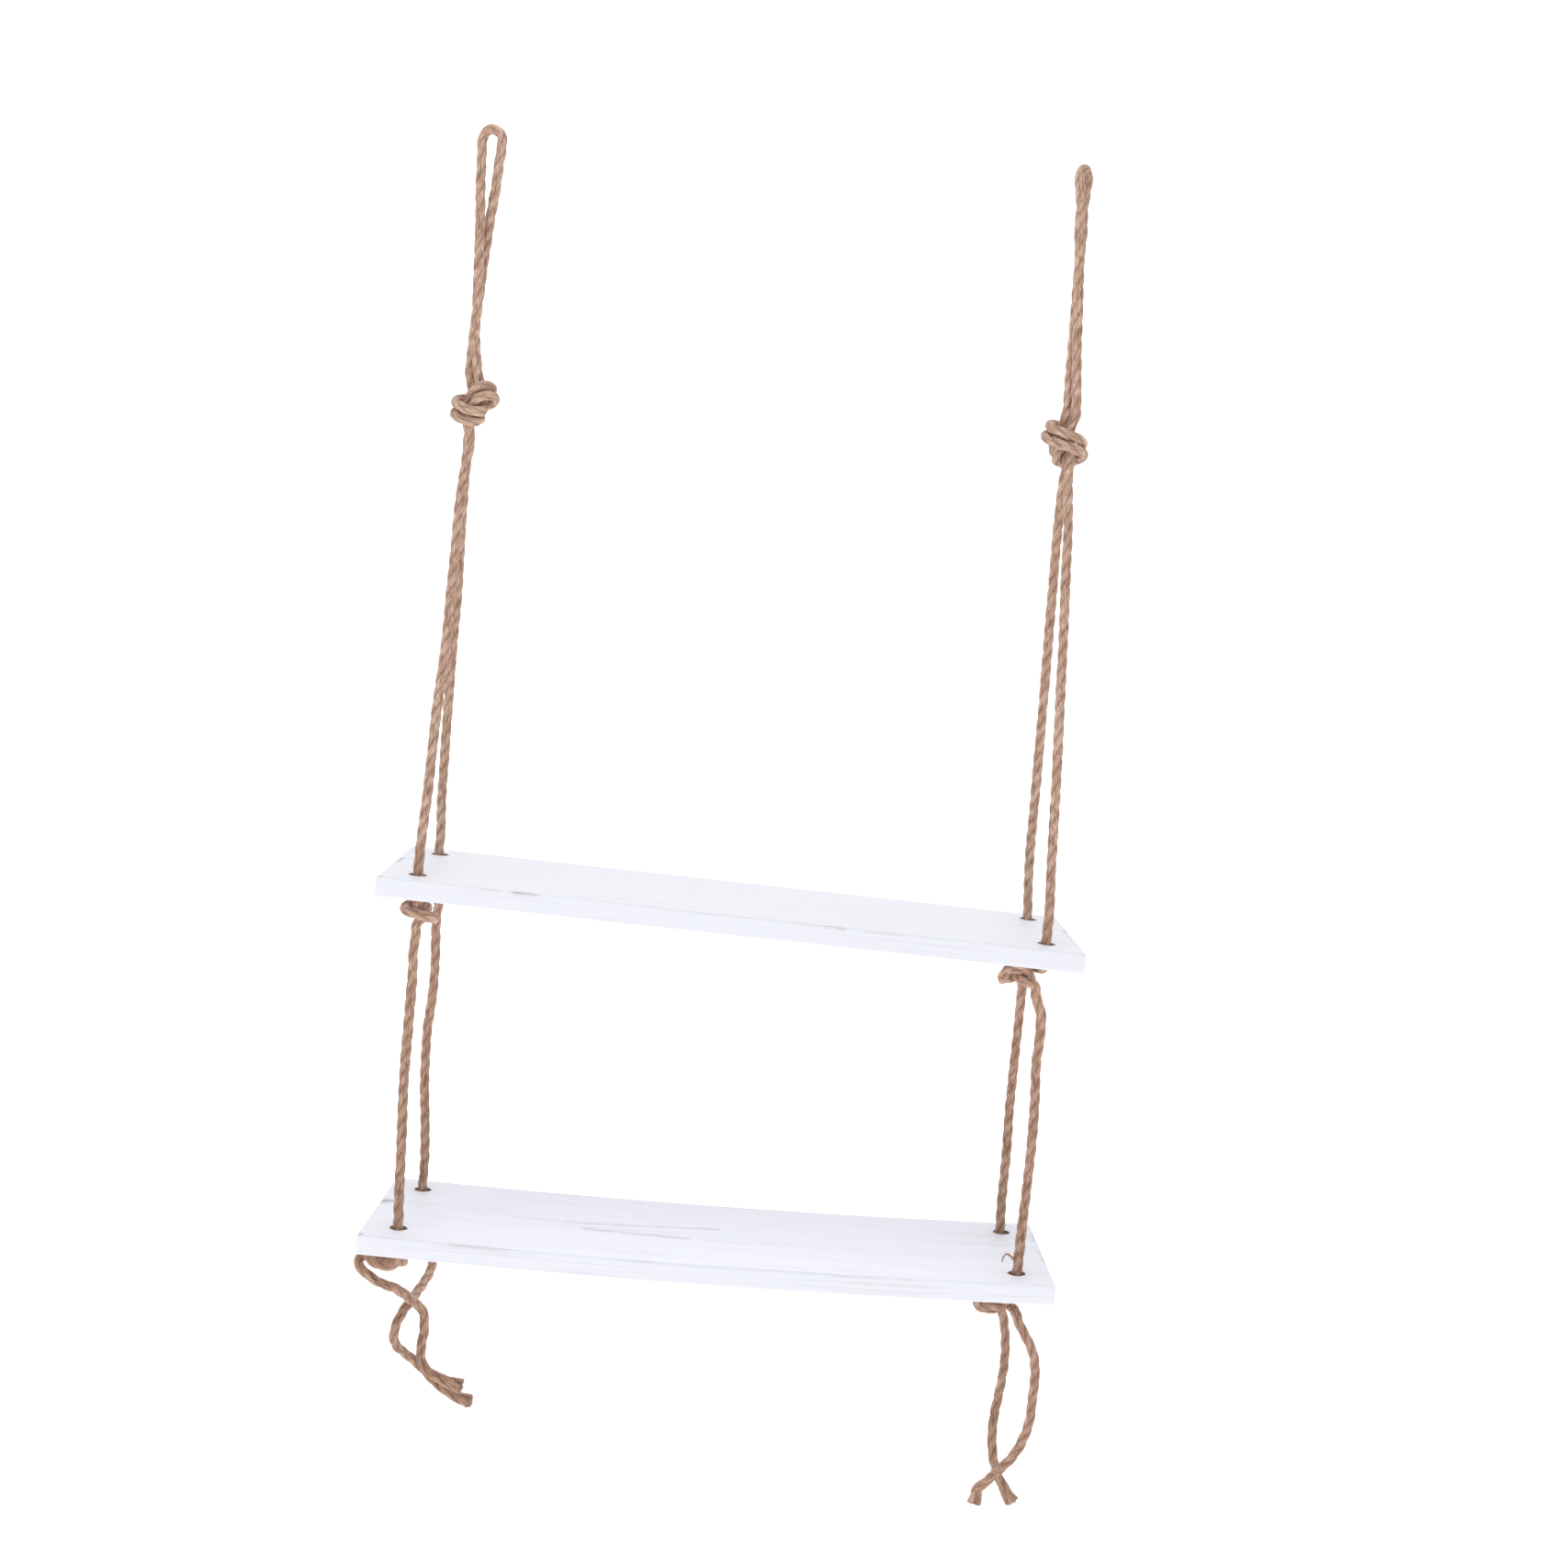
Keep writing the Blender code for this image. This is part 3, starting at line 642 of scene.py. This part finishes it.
def stretched_noise(tree, vector, stretch, detail=4.0, roughness=0.55):
    """Noise over a vector that is first scaled along each axis."""
    mapping = add_node(tree, "ShaderNodeMapping", {"Vector": vector, "Scale": stretch})
    return add_node(tree, "ShaderNodeTexNoise", {
        "Vector": mapping.outputs["Vector"], "Scale": 1.0, "Detail": detail, "Roughness": roughness,
    }).outputs["Fac"]


def group_tree(name, takes, gives):
    """Start a shader group with named inputs and outputs; return its tree and both ends."""
    tree = bpy.data.node_groups.new(name, "ShaderNodeTree")
    for label, kind, value in takes:
        socket = tree.interface.new_socket(label, in_out="INPUT", socket_type=kind)
        if value is not None:
            socket.default_value = value
    for label, kind in gives:
        tree.interface.new_socket(label, in_out="OUTPUT", socket_type=kind)
    return tree, tree.nodes.new("NodeGroupInput"), tree.nodes.new("NodeGroupOutput")


def mix_colour(tree, amount, low, high, blend="MIX"):
    made = add_node(tree, "ShaderNodeMix", data_type="RGBA", blend_type=blend)
    for socket, value in ((made.inputs[0], amount), (made.inputs[6], low), (made.inputs[7], high)):
        if isinstance(value, bpy.types.NodeSocket):
            tree.links.new(value, socket)
        else:
            socket.default_value = value
    return made.outputs[2]


def calculate(tree, operation, first, second=0.0, clamp=False):
    return add_node(tree, "ShaderNodeMath", {0: first, 1: second}, operation=operation,
                    use_clamp=clamp).outputs[0]


def jute_fibre_group():
    """Jute yarn: long pale and dark fibres, with painted shade in the grooves and painted shade darkening it toward the
    bottom, where the light falls off.
    """
    tree, start, end = group_tree(
        "jute fibre",
        [("Laid", "NodeSocketVector", None), ("Groove", "NodeSocketFloat", 0.0), ("Height", "NodeSocketFloat", 0.0),
         ("Dark", "NodeSocketColor", (0.13, 0.062, 0.038, 1)), ("Straw", "NodeSocketColor", (0.42, 0.240, 0.160, 1)),
         ("Pale", "NodeSocketColor", (0.90, 0.675, 0.530, 1))],
        [("Color", "NodeSocketColor"), ("Height", "NodeSocketFloat"), ("Roughness", "NodeSocketFloat")],
    )
    laid = start.outputs["Laid"]
    fibres = stretched_noise(tree, laid, (2600.0, 2600.0, 170.0), detail=3.0)
    yarns = stretched_noise(tree, laid, (900.0, 900.0, 110.0), detail=2.0)
    patches = stretched_noise(tree, laid, (260.0, 260.0, 150.0), detail=2.0)
    groove = ramp(tree, start.outputs["Groove"], [(0.45, 0.0), (0.85, 0.5), (1.0, 1.0)])
    streak = ramp(tree, fibres, [(0.28, 0.0), (0.74, 1.0)])
    body = mix_colour(tree, streak, start.outputs["Straw"], start.outputs["Pale"])
    patch = ramp(tree, patches, [(0.42, 0.0), (0.60, 1.0)])
    toned = mix_colour(tree, calculate(tree, "MULTIPLY", patch, 0.62), body, start.outputs["Straw"])
    flecks = ramp(tree, yarns, [(0.34, 1.0), (0.46, 0.0)])
    flecked = mix_colour(tree, calculate(tree, "MULTIPLY", flecks, 0.62), toned, start.outputs["Dark"])
    # Painted shade: the grooves between the strands are darkened toward the Dark colour, most at the bottom of each
    # groove.
    shaded = mix_colour(tree, calculate(tree, "MULTIPLY", groove, 0.58), flecked, start.outputs["Dark"])
    # Painted shade: below the upper board the jute's colour is darkened step by step toward the bottom, standing in for
    # the light falling off lower down.
    painted_lower_shade = ramp(tree, calculate(tree, "MULTIPLY", start.outputs["Height"], -1.0),
                [(0.0, 1.0), (0.42, 1.0), (0.52, (0.85, 0.79, 0.75, 1.0)), (0.78, (0.79, 0.74, 0.70, 1.0))])
    tree.links.new(mix_colour(tree, 1.0, shaded, painted_lower_shade, "MULTIPLY"), end.inputs["Color"])
    tree.links.new(calculate(tree, "ADD", calculate(tree, "MULTIPLY", fibres, 0.6),
                             calculate(tree, "MULTIPLY", yarns, 0.5)), end.inputs["Height"])
    tree.links.new(calculate(tree, "ADD", calculate(tree, "MULTIPLY", fibres, 0.15), 0.78), end.inputs["Roughness"])
    return tree


def jute_material(name, group, tint=1.0):
    """A jute finish; tint scales its colours."""
    material = bpy.data.materials.new(name)
    material.use_nodes = True
    tree = material.node_tree
    shader = tree.nodes["Principled BSDF"]
    laid = add_node(tree, "ShaderNodeAttribute", attribute_name="laid").outputs["Vector"]
    groove = add_node(tree, "ShaderNodeAttribute", attribute_name="groove").outputs["Fac"]
    look = add_node(tree, "ShaderNodeGroup", node_tree=group)
    tree.links.new(laid, look.inputs["Laid"])
    tree.links.new(groove, look.inputs["Groove"])
    # The object height drives the painted shade that darkens the rope toward the bottom.
    place = add_node(tree, "ShaderNodeTexCoord").outputs["Object"]
    height = add_node(tree, "ShaderNodeSeparateXYZ", {"Vector": place}).outputs["Z"]
    tree.links.new(height, look.inputs["Height"])
    for socket in ("Dark", "Straw", "Pale"):
        colour = list(look.inputs[socket].default_value)
        look.inputs[socket].default_value = [min(1.0, part * tint) for part in colour[:3]] + [1.0]
    bump = add_node(tree, "ShaderNodeBump", {"Height": look.outputs["Height"], "Strength": 0.7, "Distance": 0.0003})
    tree.links.new(look.outputs["Color"], shader.inputs["Base Color"])
    tree.links.new(look.outputs["Roughness"], shader.inputs["Roughness"])
    tree.links.new(bump.outputs["Normal"], shader.inputs["Normal"])
    shader.inputs["Specular IOR Level"].default_value = 0.25
    shader.inputs["Sheen Weight"].default_value = 0.25
    shader.inputs["Sheen Roughness"].default_value = 0.5
    return material


# Marks where the whitewash is rubbed or chipped, in millimetres in a board's own frame: the
# face, the two ends of the mark, its half width and how much of it is bare
MARKS = {
    "lower": [
        ("top", (-170, 0.5), (-137, 6.5), 1.6, 0.40),
        ("top", (-128, 3.5), (-91, 1.0), 1.4, 0.55),
        ("top", (-91, 1.0), (4, 11.5), 1.5, 0.75),
        ("top", (-126, -10.8), (-78, -10.6), 1.2, 0.35),
        ("top", (-78, -10.6), (-13, -14.0), 1.7, 0.80),
        ("top", (-7, -12.4), (16, -14.5), 1.4, 0.50),
        ("top", (21, -15.2), (52, -13.1), 1.3, 0.40),
        ("top", (84, -16.9), (95, -14.2), 1.6, 0.55),
        ("top", (103, -20.1), (139, -14.9), 1.5, 0.45),
        ("top", (157, 24.9), (188, 24.7), 1.3, 0.40),
        ("top", (-37.5, -46.7), (-36.5, -46.4), 1.2, 0.55),
        ("arris", (-200, -68.5), (-116, -68.5), 1.0, 0.42),
        ("arris", (-155, -68.5), (-119, -68.5), 1.5, 0.55),
        ("arris", (-53, -68.5), (-31, -68.5), 1.0, 0.50),
        ("arris", (-8, -68.5), (7, -68.5), 0.9, 0.40),
        ("arris", (17, -68.5), (34, -68.5), 0.9, 0.45),
        ("arris", (54, -68.5), (83, -68.5), 1.1, 0.55),
        ("arris", (84, -68.5), (107, -68.5), 0.9, 0.40),
        ("arris", (119, -68.5), (121, -68.5), 1.2, 0.75),
        ("foot", (-105, -68.5), (-98, -68.5), 1.2, 0.40),
        ("top", (-209.5, 8.0), (-203, 11.5), 2.6, 1.00),
        ("top", (-209.5, 14.5), (-205, 16.0), 1.4, 0.70),
        ("top", (-209.5, 2.0), (-205, 2.5), 1.2, 0.60),
        ("top", (-209.5, -66.5), (-207.5, -66.0), 1.4, 0.90),
        ("top", (209.5, 46.0), (208.0, 28.0), 1.5, 0.75),
        ("top", (205.0, 34.0), (209.5, 30.0), 1.3, 0.60),
        ("top", (209.5, 5.3), (209.0, -19.0), 1.5, 0.70),
        ("top", (207.5, 0.0), (209.5, -4.0), 1.2, 0.60),
        ("top", (209.5, -27.0), (209.5, -66.0), 1.1, 0.50),
        ("top", (60, 68.5), (120, 68.5), 1.0, 0.30),
        ("top", (-110, 60.0), (-85, 61.0), 1.3, 0.25),
    ],
    "upper": [
        ("arris", (-172, -68.5), (-164, -68.5), 0.9, 0.35),
        ("arris", (-148, -68.5), (-139, -68.5), 1.0, 0.45),
        ("arris", (-129, -68.5), (-116, -68.5), 1.4, 0.80),
        ("arris", (-50, -68.5), (-40, -68.5), 0.9, 0.30),
        ("arris", (-21, -68.5), (-7, -68.5), 0.9, 0.35),
        ("arris", (3, -68.5), (15, -68.5), 0.9, 0.35),
        ("arris", (27, -68.5), (68, -68.5), 1.0, 0.40),
        ("arris", (55, -68.5), (67, -68.5), 1.3, 0.80),
        ("arris", (79, -68.5), (99, -68.5), 1.0, 0.45),
        ("top", (27, -2.2), (38, -16.0), 1.6, 0.30),
        ("top", (129, 6.9), (140, 6.9), 1.5, 0.45),
        ("top", (138, -7.9), (145, -13.5), 1.3, 0.35),
        ("foot", (130, -68.5), (155, -68.5), 1.2, 0.45),
        ("top", (-210.5, -7.0), (-208, 12.5), 1.8, 0.85),
        ("top", (-210.5, -66.5), (-208.5, -65.5), 1.3, 0.90),
        ("top", (-210.5, 45.0), (-208, 57.0), 1.8, 0.55),
        ("top", (209.0, 16.0), (210.5, -18.0), 1.6, 0.70),
        ("top", (210.5, 60.0), (209.5, 27.0), 1.6, 0.45),
        ("top", (210.5, -64.0), (209.5, -63.0), 1.4, 0.60),
    ],
}

# How much wider than written the streaks on a top face fade out
TOP_MARK_SPREAD = 1.3

# Distances from an edge at which the board's surface is cut closely, so its arris can wear
EDGE_CUTS = (0.0003, 0.0007, 0.0012, 0.0019, 0.0028, 0.0040, 0.0056)
CUT_ALONG = 0.0020
CUT_ACROSS = 0.0026


def cut_places(size, middle_step):
    """Return the cuts across one side of a board: close near both edges, even between."""
    half = size / 2
    inner = half - EDGE_CUTS[-1]
    count = int(round(2 * inner / middle_step))
    evens = [-inner + 2 * inner * step / count for step in range(count + 1)]
    edges = [half - cut for cut in EDGE_CUTS[:-1]]
    return sorted([-half, half] + evens + edges + [-edge for edge in edges])


def near_segment(point, start, stop):
    """Return how far a point is from a segment, in the same units."""
    along = stop - start
    share = 0.0
    if along.length_squared > 0:
        share = max(0.0, min(1.0, (point - start).dot(along) / along.length_squared))
    return (point - (start + along * share)).length


def bare_amount(tier, board, co):
    """Return how much bare wood shows at a point of a board, from 0 to 1."""
    place = Vector(co) * 1000
    wander = noise.noise(Vector((place.x * 0.11, place.y * 0.3, place.z * 0.3)))
    bare = 0.0
    for face, start, stop, half_width, amount in MARKS[tier]:
        reach = 3 * TOP_MARK_SPREAD * half_width
        if not min(start[0], stop[0]) - reach < place.x < max(start[0], stop[0]) + reach:
            continue
        if face == "top" and place.z < -2.5:
            continue
        if face == "top":
            gap = near_segment(place, Vector((*start, 0.0)), Vector((*stop, 0.0)))
        else:
            height = 0.0 if face == "arris" else -BOARD_THICKNESS * 1000
            gap = near_segment(place, Vector((*start, height)), Vector((*stop, height)))
        width = half_width * (1 + 0.5 * wander) * (TOP_MARK_SPREAD if face == "top" else 1.0)
        if gap < 2 * width:
            bare = max(bare, amount * (1 - gap / (2 * width)) ** 0.6)
    return bare


def arris_gap(board, co):
    """Return a point's distance from the nearest long or short arris of a board, in metres."""
    from_faces = sorted((
        board["length"] / 2 - abs(co.x),
        BOARD_DEPTH / 2 - abs(co.y),
        min(-co.z, co.z + BOARD_THICKNESS),
    ))
    return math.hypot(max(0.0, from_faces[0]), max(0.0, from_faces[1]))


def worn_point(tier, board, co, seed):
    """Round a board's arris at one point, more where it is rubbed, and chip it at its marks."""
    half = Vector((board["length"] / 2, BOARD_DEPTH / 2, BOARD_THICKNESS / 2))
    local = Vector((co.x, co.y, co.z + BOARD_THICKNESS / 2))
    rub = noise.noise(Vector((co.x * 55 + seed, co.y * 55, co.z * 90)))
    fine = noise.noise(Vector((co.x * 260, co.y * 260 + seed, co.z * 260)))
    bare = bare_amount(tier, board, co)
    radius = 0.0008 + 0.0003 * rub + 0.0002 * fine + 0.0011 * bare
    radius = max(0.0003, radius)
    inner = Vector([max(-edge + radius, min(edge - radius, part)) for edge, part in zip(half, local)])
    out = local - inner
    if out.length > 1e-9:
        local = inner + out.normalized() * min(out.length, radius)
    return Vector((local.x, local.y, local.z - BOARD_THICKNESS / 2))


def plank_mesh(tier, board, seed):
    """Model one plank in its own frame: a finely cut slab with worn, uneven arrises."""
    places_x = cut_places(board["length"], CUT_ALONG)
    places_y = cut_places(BOARD_DEPTH, CUT_ACROSS)
    bm = bmesh.new()
    bmesh.ops.create_grid(bm, x_segments=len(places_x) - 1, y_segments=len(places_y) - 1, size=0.5)
    for vert in bm.verts:
        vert.co.x = places_x[round((vert.co.x + 0.5) * (len(places_x) - 1))]
        vert.co.y = places_y[round((vert.co.y + 0.5) * (len(places_y) - 1))]
    top = list(bm.faces)
    grown = bmesh.ops.extrude_face_region(bm, geom=top, use_keep_orig=True)["geom"]
    bottom = [item for item in grown if isinstance(item, bmesh.types.BMVert)]
    bmesh.ops.translate(bm, verts=bottom, vec=(0, 0, -BOARD_THICKNESS))
    heights = [-cut for cut in EDGE_CUTS[:-1]] + [-BOARD_THICKNESS / 2]
    heights += [cut - BOARD_THICKNESS for cut in EDGE_CUTS[:-1]]
    for height in heights:
        walls = [face for face in bm.faces if abs(face.normal.z) < 0.5]
        geometry = set(walls)
        for face in walls:
            geometry.update(face.verts)
            geometry.update(face.edges)
        bmesh.ops.bisect_plane(bm, geom=list(geometry), plane_co=(0, 0, height), plane_no=(0, 0, 1))
    bmesh.ops.recalc_face_normals(bm, faces=bm.faces)
    for vert in bm.verts:
        if arris_gap(board, vert.co) < 0.004:
            vert.co = worn_point(tier, board, vert.co, seed)
    mesh = bpy.data.meshes.new(tier + "_plank")
    bm.to_mesh(mesh)
    bm.free()
    return mesh


def drilled(plank, board):
    """Cut the four holes in a plank and return the finished mesh."""
    drills = []
    for end in (-1, 1):
        for edge in (-1, 1):
            bm = bmesh.new()
            bmesh.ops.create_cone(bm, cap_ends=True, segments=40, radius1=HOLE_DIAMETER / 2,
                                  radius2=HOLE_DIAMETER / 2, depth=3 * BOARD_THICKNESS)
            across = end * (board["length"] / 2 - HOLE_FROM_END)
            along = edge * (BOARD_DEPTH / 2 - HOLE_FROM_EDGE)
            bmesh.ops.translate(bm, verts=bm.verts, vec=(across, along, -BOARD_THICKNESS / 2))
            mesh = bpy.data.meshes.new("drill")
            bm.to_mesh(mesh)
            bm.free()
            drill = bpy.data.objects.new("drill", mesh)
            scene.collection.objects.link(drill)
            drills.append(drill)
            cut = plank.modifiers.new("hole", "BOOLEAN")
            cut.operation = "DIFFERENCE"
            cut.solver = "EXACT"
            cut.object = drill
    depsgraph = bpy.context.evaluated_depsgraph_get()
    mesh = bpy.data.meshes.new_from_object(plank.evaluated_get(depsgraph))
    for drill in drills:
        bpy.data.objects.remove(drill, do_unlink=True)
    return mesh


def paint_marks(tier, board, mesh):
    """Store at each point its place in the board, how bare it is and whether it is in a hole."""
    for name, kind in (("plank", "FLOAT_VECTOR"), ("bare", "FLOAT"), ("bored", "FLOAT")):
        mesh.attributes.new(name, kind, "POINT")
    plank, bare, bored = (mesh.attributes[name] for name in ("plank", "bare", "bored"))
    for number, vert in enumerate(mesh.vertices):
        plank.data[number].vector = vert.co
        bare.data[number].value = bare_amount(tier, board, vert.co)
        hole = Vector((abs(abs(vert.co.x) - (board["length"] / 2 - HOLE_FROM_END)),
                       abs(abs(vert.co.y) - (BOARD_DEPTH / 2 - HOLE_FROM_EDGE))))
        inside = hole.length < HOLE_DIAMETER / 2 + 0.0001
        bored.data[number].value = 1.0 if inside else 0.0


def make_board(tier, material, seed):
    """One worn whitewashed board in place of its solid."""
    board = BOARDS[tier]
    plank = bpy.data.objects.new(tier + "_whitewashed_board", plank_mesh(tier, board, seed))
    scene.collection.objects.link(plank)
    mesh = drilled(plank, board)
    plank.modifiers.clear()
    plank.data = mesh
    mesh.name = tier + "_whitewashed_board"
    paint_marks(tier, board, mesh)
    for vert in mesh.vertices:
        vert.co.z -= sag(board, vert.co.x)
    mesh.transform(board_place(board))
    mesh.shade_smooth()
    mesh.set_sharp_from_angle(angle=math.radians(38))
    mesh.materials.clear()
    mesh.materials.append(material)
    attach(plank, "root")
    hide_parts(tier + "_board")
    return plank


def whitewash_group():
    """Whitewash over wood: faint grey grain along the board, rubbed marks and bare hole walls."""
    tree, start, end = group_tree(
        "worn whitewash",
        [("Plank", "NodeSocketVector", None), ("Bare", "NodeSocketFloat", 0.0), ("Bored", "NodeSocketFloat", 0.0),
         ("Grain", "NodeSocketFloat", 0.5),
         ("White", "NodeSocketColor", (0.87, 0.88, 0.95, 1)), ("Wood", "NodeSocketColor", (0.36, 0.33, 0.31, 1))],
        [("Color", "NodeSocketColor"), ("Height", "NodeSocketFloat"), ("Roughness", "NodeSocketFloat")],
    )
    plank = start.outputs["Plank"]
    grain = stretched_noise(tree, plank, (9.0, 420.0, 420.0), detail=5.0, roughness=0.62)
    broad = stretched_noise(tree, plank, (5.0, 60.0, 60.0), detail=3.0)
    breakup = stretched_noise(tree, plank, (45.0, 1000.0, 1000.0), detail=3.0, roughness=0.65)
    lines = ramp(tree, grain, [(0.36, 1.0), (0.52, 0.0)])
    clouds = ramp(tree, broad, [(0.40, 0.0), (0.66, 1.0)])
    grey = calculate(tree, "MULTIPLY", calculate(tree, "MULTIPLY", lines, clouds), start.outputs["Grain"])
    streaked = mix_colour(tree, grey, start.outputs["White"], start.outputs["Wood"])
    torn = calculate(tree, "ADD", start.outputs["Bare"],
                     calculate(tree, "MULTIPLY", calculate(tree, "SUBTRACT", breakup, 0.5), 2.2))
    rubbed = ramp(tree, torn, [(0.30, 0.0), (1.0, 0.85)])
    shown = calculate(tree, "MULTIPLY", rubbed, ramp(tree, start.outputs["Bare"], [(0.02, 0.0), (0.9, 1.0)]))
    marked = mix_colour(tree, shown, streaked, start.outputs["Wood"])
    bored = mix_colour(tree, calculate(tree, "MULTIPLY", start.outputs["Bored"], 0.85), marked,
                       (0.30, 0.22, 0.16, 1))
    tree.links.new(bored, end.inputs["Color"])
    height = calculate(tree, "SUBTRACT", calculate(tree, "MULTIPLY", grain, 0.35),
                       calculate(tree, "MULTIPLY", shown, 0.8))
    tree.links.new(height, end.inputs["Height"])
    tree.links.new(calculate(tree, "ADD", calculate(tree, "MULTIPLY", shown, 0.25), 0.55), end.inputs["Roughness"])
    return tree


def whitewash_material(name, group, grain):
    material = bpy.data.materials.new(name)
    material.use_nodes = True
    tree = material.node_tree
    shader = tree.nodes["Principled BSDF"]
    look = add_node(tree, "ShaderNodeGroup", node_tree=group)
    look.inputs["Grain"].default_value = grain
    for attribute, socket, output in (("plank", "Plank", "Vector"), ("bare", "Bare", "Fac"), ("bored", "Bored", "Fac")):
        source = add_node(tree, "ShaderNodeAttribute", attribute_name=attribute)
        tree.links.new(source.outputs[output], look.inputs[socket])
    bump = add_node(tree, "ShaderNodeBump", {"Height": look.outputs["Height"], "Strength": 0.5, "Distance": 0.0003})
    tree.links.new(look.outputs["Color"], shader.inputs["Base Color"])
    tree.links.new(look.outputs["Roughness"], shader.inputs["Roughness"])
    tree.links.new(bump.outputs["Normal"], shader.inputs["Normal"])
    shader.inputs["Specular IOR Level"].default_value = 0.35
    return material


def plain_material(name, colour, roughness):
    material = bpy.data.materials.new(name)
    material.use_nodes = True
    shader = material.node_tree.nodes["Principled BSDF"]
    shader.inputs["Base Color"].default_value = (*colour, 1)
    shader.inputs["Roughness"].default_value = roughness
    return material


# Studio: a white floor that rises into a white backdrop, far below and behind the part
FLOOR_DROP = 1.25
FLOOR_FRONT = -4.0
BACKDROP_BACK = 3.0
BACKDROP_HEIGHT = 4.5
SWEEP_RADIUS = 1.6
SWEEP_STEPS = 16
STUDIO_HALF_WIDTH = 7.0
BACKDROP_GLOW = 0.55

# Soft lights: name, place, what they face, size and power in watts
LIGHTS = [
    ("overhead softbox", (0.0, -0.5, 1.3), (0.18, 0.0, -0.5), 1.4, 8.0),
    ("front softbox", (-1.2, -2.0, 0.2), (0.18, 0.0, -0.4), 1.2, 4.0),
]
SURROUND_STRENGTH = 0.64


def backdrop_material():
    """A plain white that also glows a little, so the surround stays even."""
    material = plain_material("white backdrop", (0.95, 0.95, 0.95), 0.9)
    shader = material.node_tree.nodes["Principled BSDF"]
    shader.inputs["Emission Color"].default_value = (1, 1, 1, 1)
    shader.inputs["Emission Strength"].default_value = BACKDROP_GLOW
    return material


def make_studio():
    """The swept backdrop, the white surround and the soft lights."""
    bm = bmesh.new()
    outline = [Vector((0, FLOOR_FRONT, 0))]
    for step in range(SWEEP_STEPS + 1):
        angle = math.pi / 2 * step / SWEEP_STEPS
        outline.append(Vector((0, BACKDROP_BACK - SWEEP_RADIUS * (1 - math.sin(angle)),
                               SWEEP_RADIUS * (1 - math.cos(angle)))))
    outline.append(Vector((0, BACKDROP_BACK, BACKDROP_HEIGHT)))
    line = [bmesh.ops.create_vert(bm, co=place)["vert"][0] for place in outline]
    for low, high in zip(line, line[1:]):
        bmesh.ops.contextual_create(bm, geom=[low, high])
    bmesh.ops.translate(bm, verts=bm.verts, vec=(0.18 - STUDIO_HALF_WIDTH, 0, -FLOOR_DROP))
    grown = bmesh.ops.extrude_edge_only(bm, edges=list(bm.edges))["geom"]
    far_side = [item for item in grown if isinstance(item, bmesh.types.BMVert)]
    bmesh.ops.translate(bm, verts=far_side, vec=(2 * STUDIO_HALF_WIDTH, 0, 0))
    bmesh.ops.recalc_face_normals(bm, faces=bm.faces)
    mesh = bpy.data.meshes.new("backdrop")
    bm.to_mesh(mesh)
    bm.free()
    mesh.shade_smooth()
    backdrop = bpy.data.objects.new("backdrop", mesh)
    scene.collection.objects.link(backdrop)
    mesh.materials.append(backdrop_material())
    world = bpy.data.worlds.new("white surround")
    world.use_nodes = True
    world.node_tree.nodes["Background"].inputs["Color"].default_value = (1, 1, 1, 1)
    world.node_tree.nodes["Background"].inputs["Strength"].default_value = SURROUND_STRENGTH
    scene.world = world
    for name, place, aim, size, power in LIGHTS:
        data = bpy.data.lights.new(name, "AREA")
        data.shape = "DISK"
        data.size = size
        data.energy = power
        lamp = bpy.data.objects.new(name, data)
        lamp.location = place
        lamp.rotation_euler = (Vector(aim) - Vector(place)).to_track_quat("-Z", "Y").to_euler()
        scene.collection.objects.link(lamp)


make_camera()
jute_group = jute_fibre_group()
jute = jute_material("jute rope", jute_group)
for order, tail_name in enumerate(TAILS):
    make_tail(tail_name, jute, 2.0 + order)
for order, side_name in enumerate(ROPES):
    make_rope(side_name, jute, 10.0 + order)
wash_group = whitewash_group()
make_board("upper", whitewash_material("upper board whitewash", wash_group, 0.12), 3.0)
make_board("lower", whitewash_material("lower board whitewash", wash_group, 0.24), 8.0)
make_studio()
scene.view_settings.view_transform = "Standard"
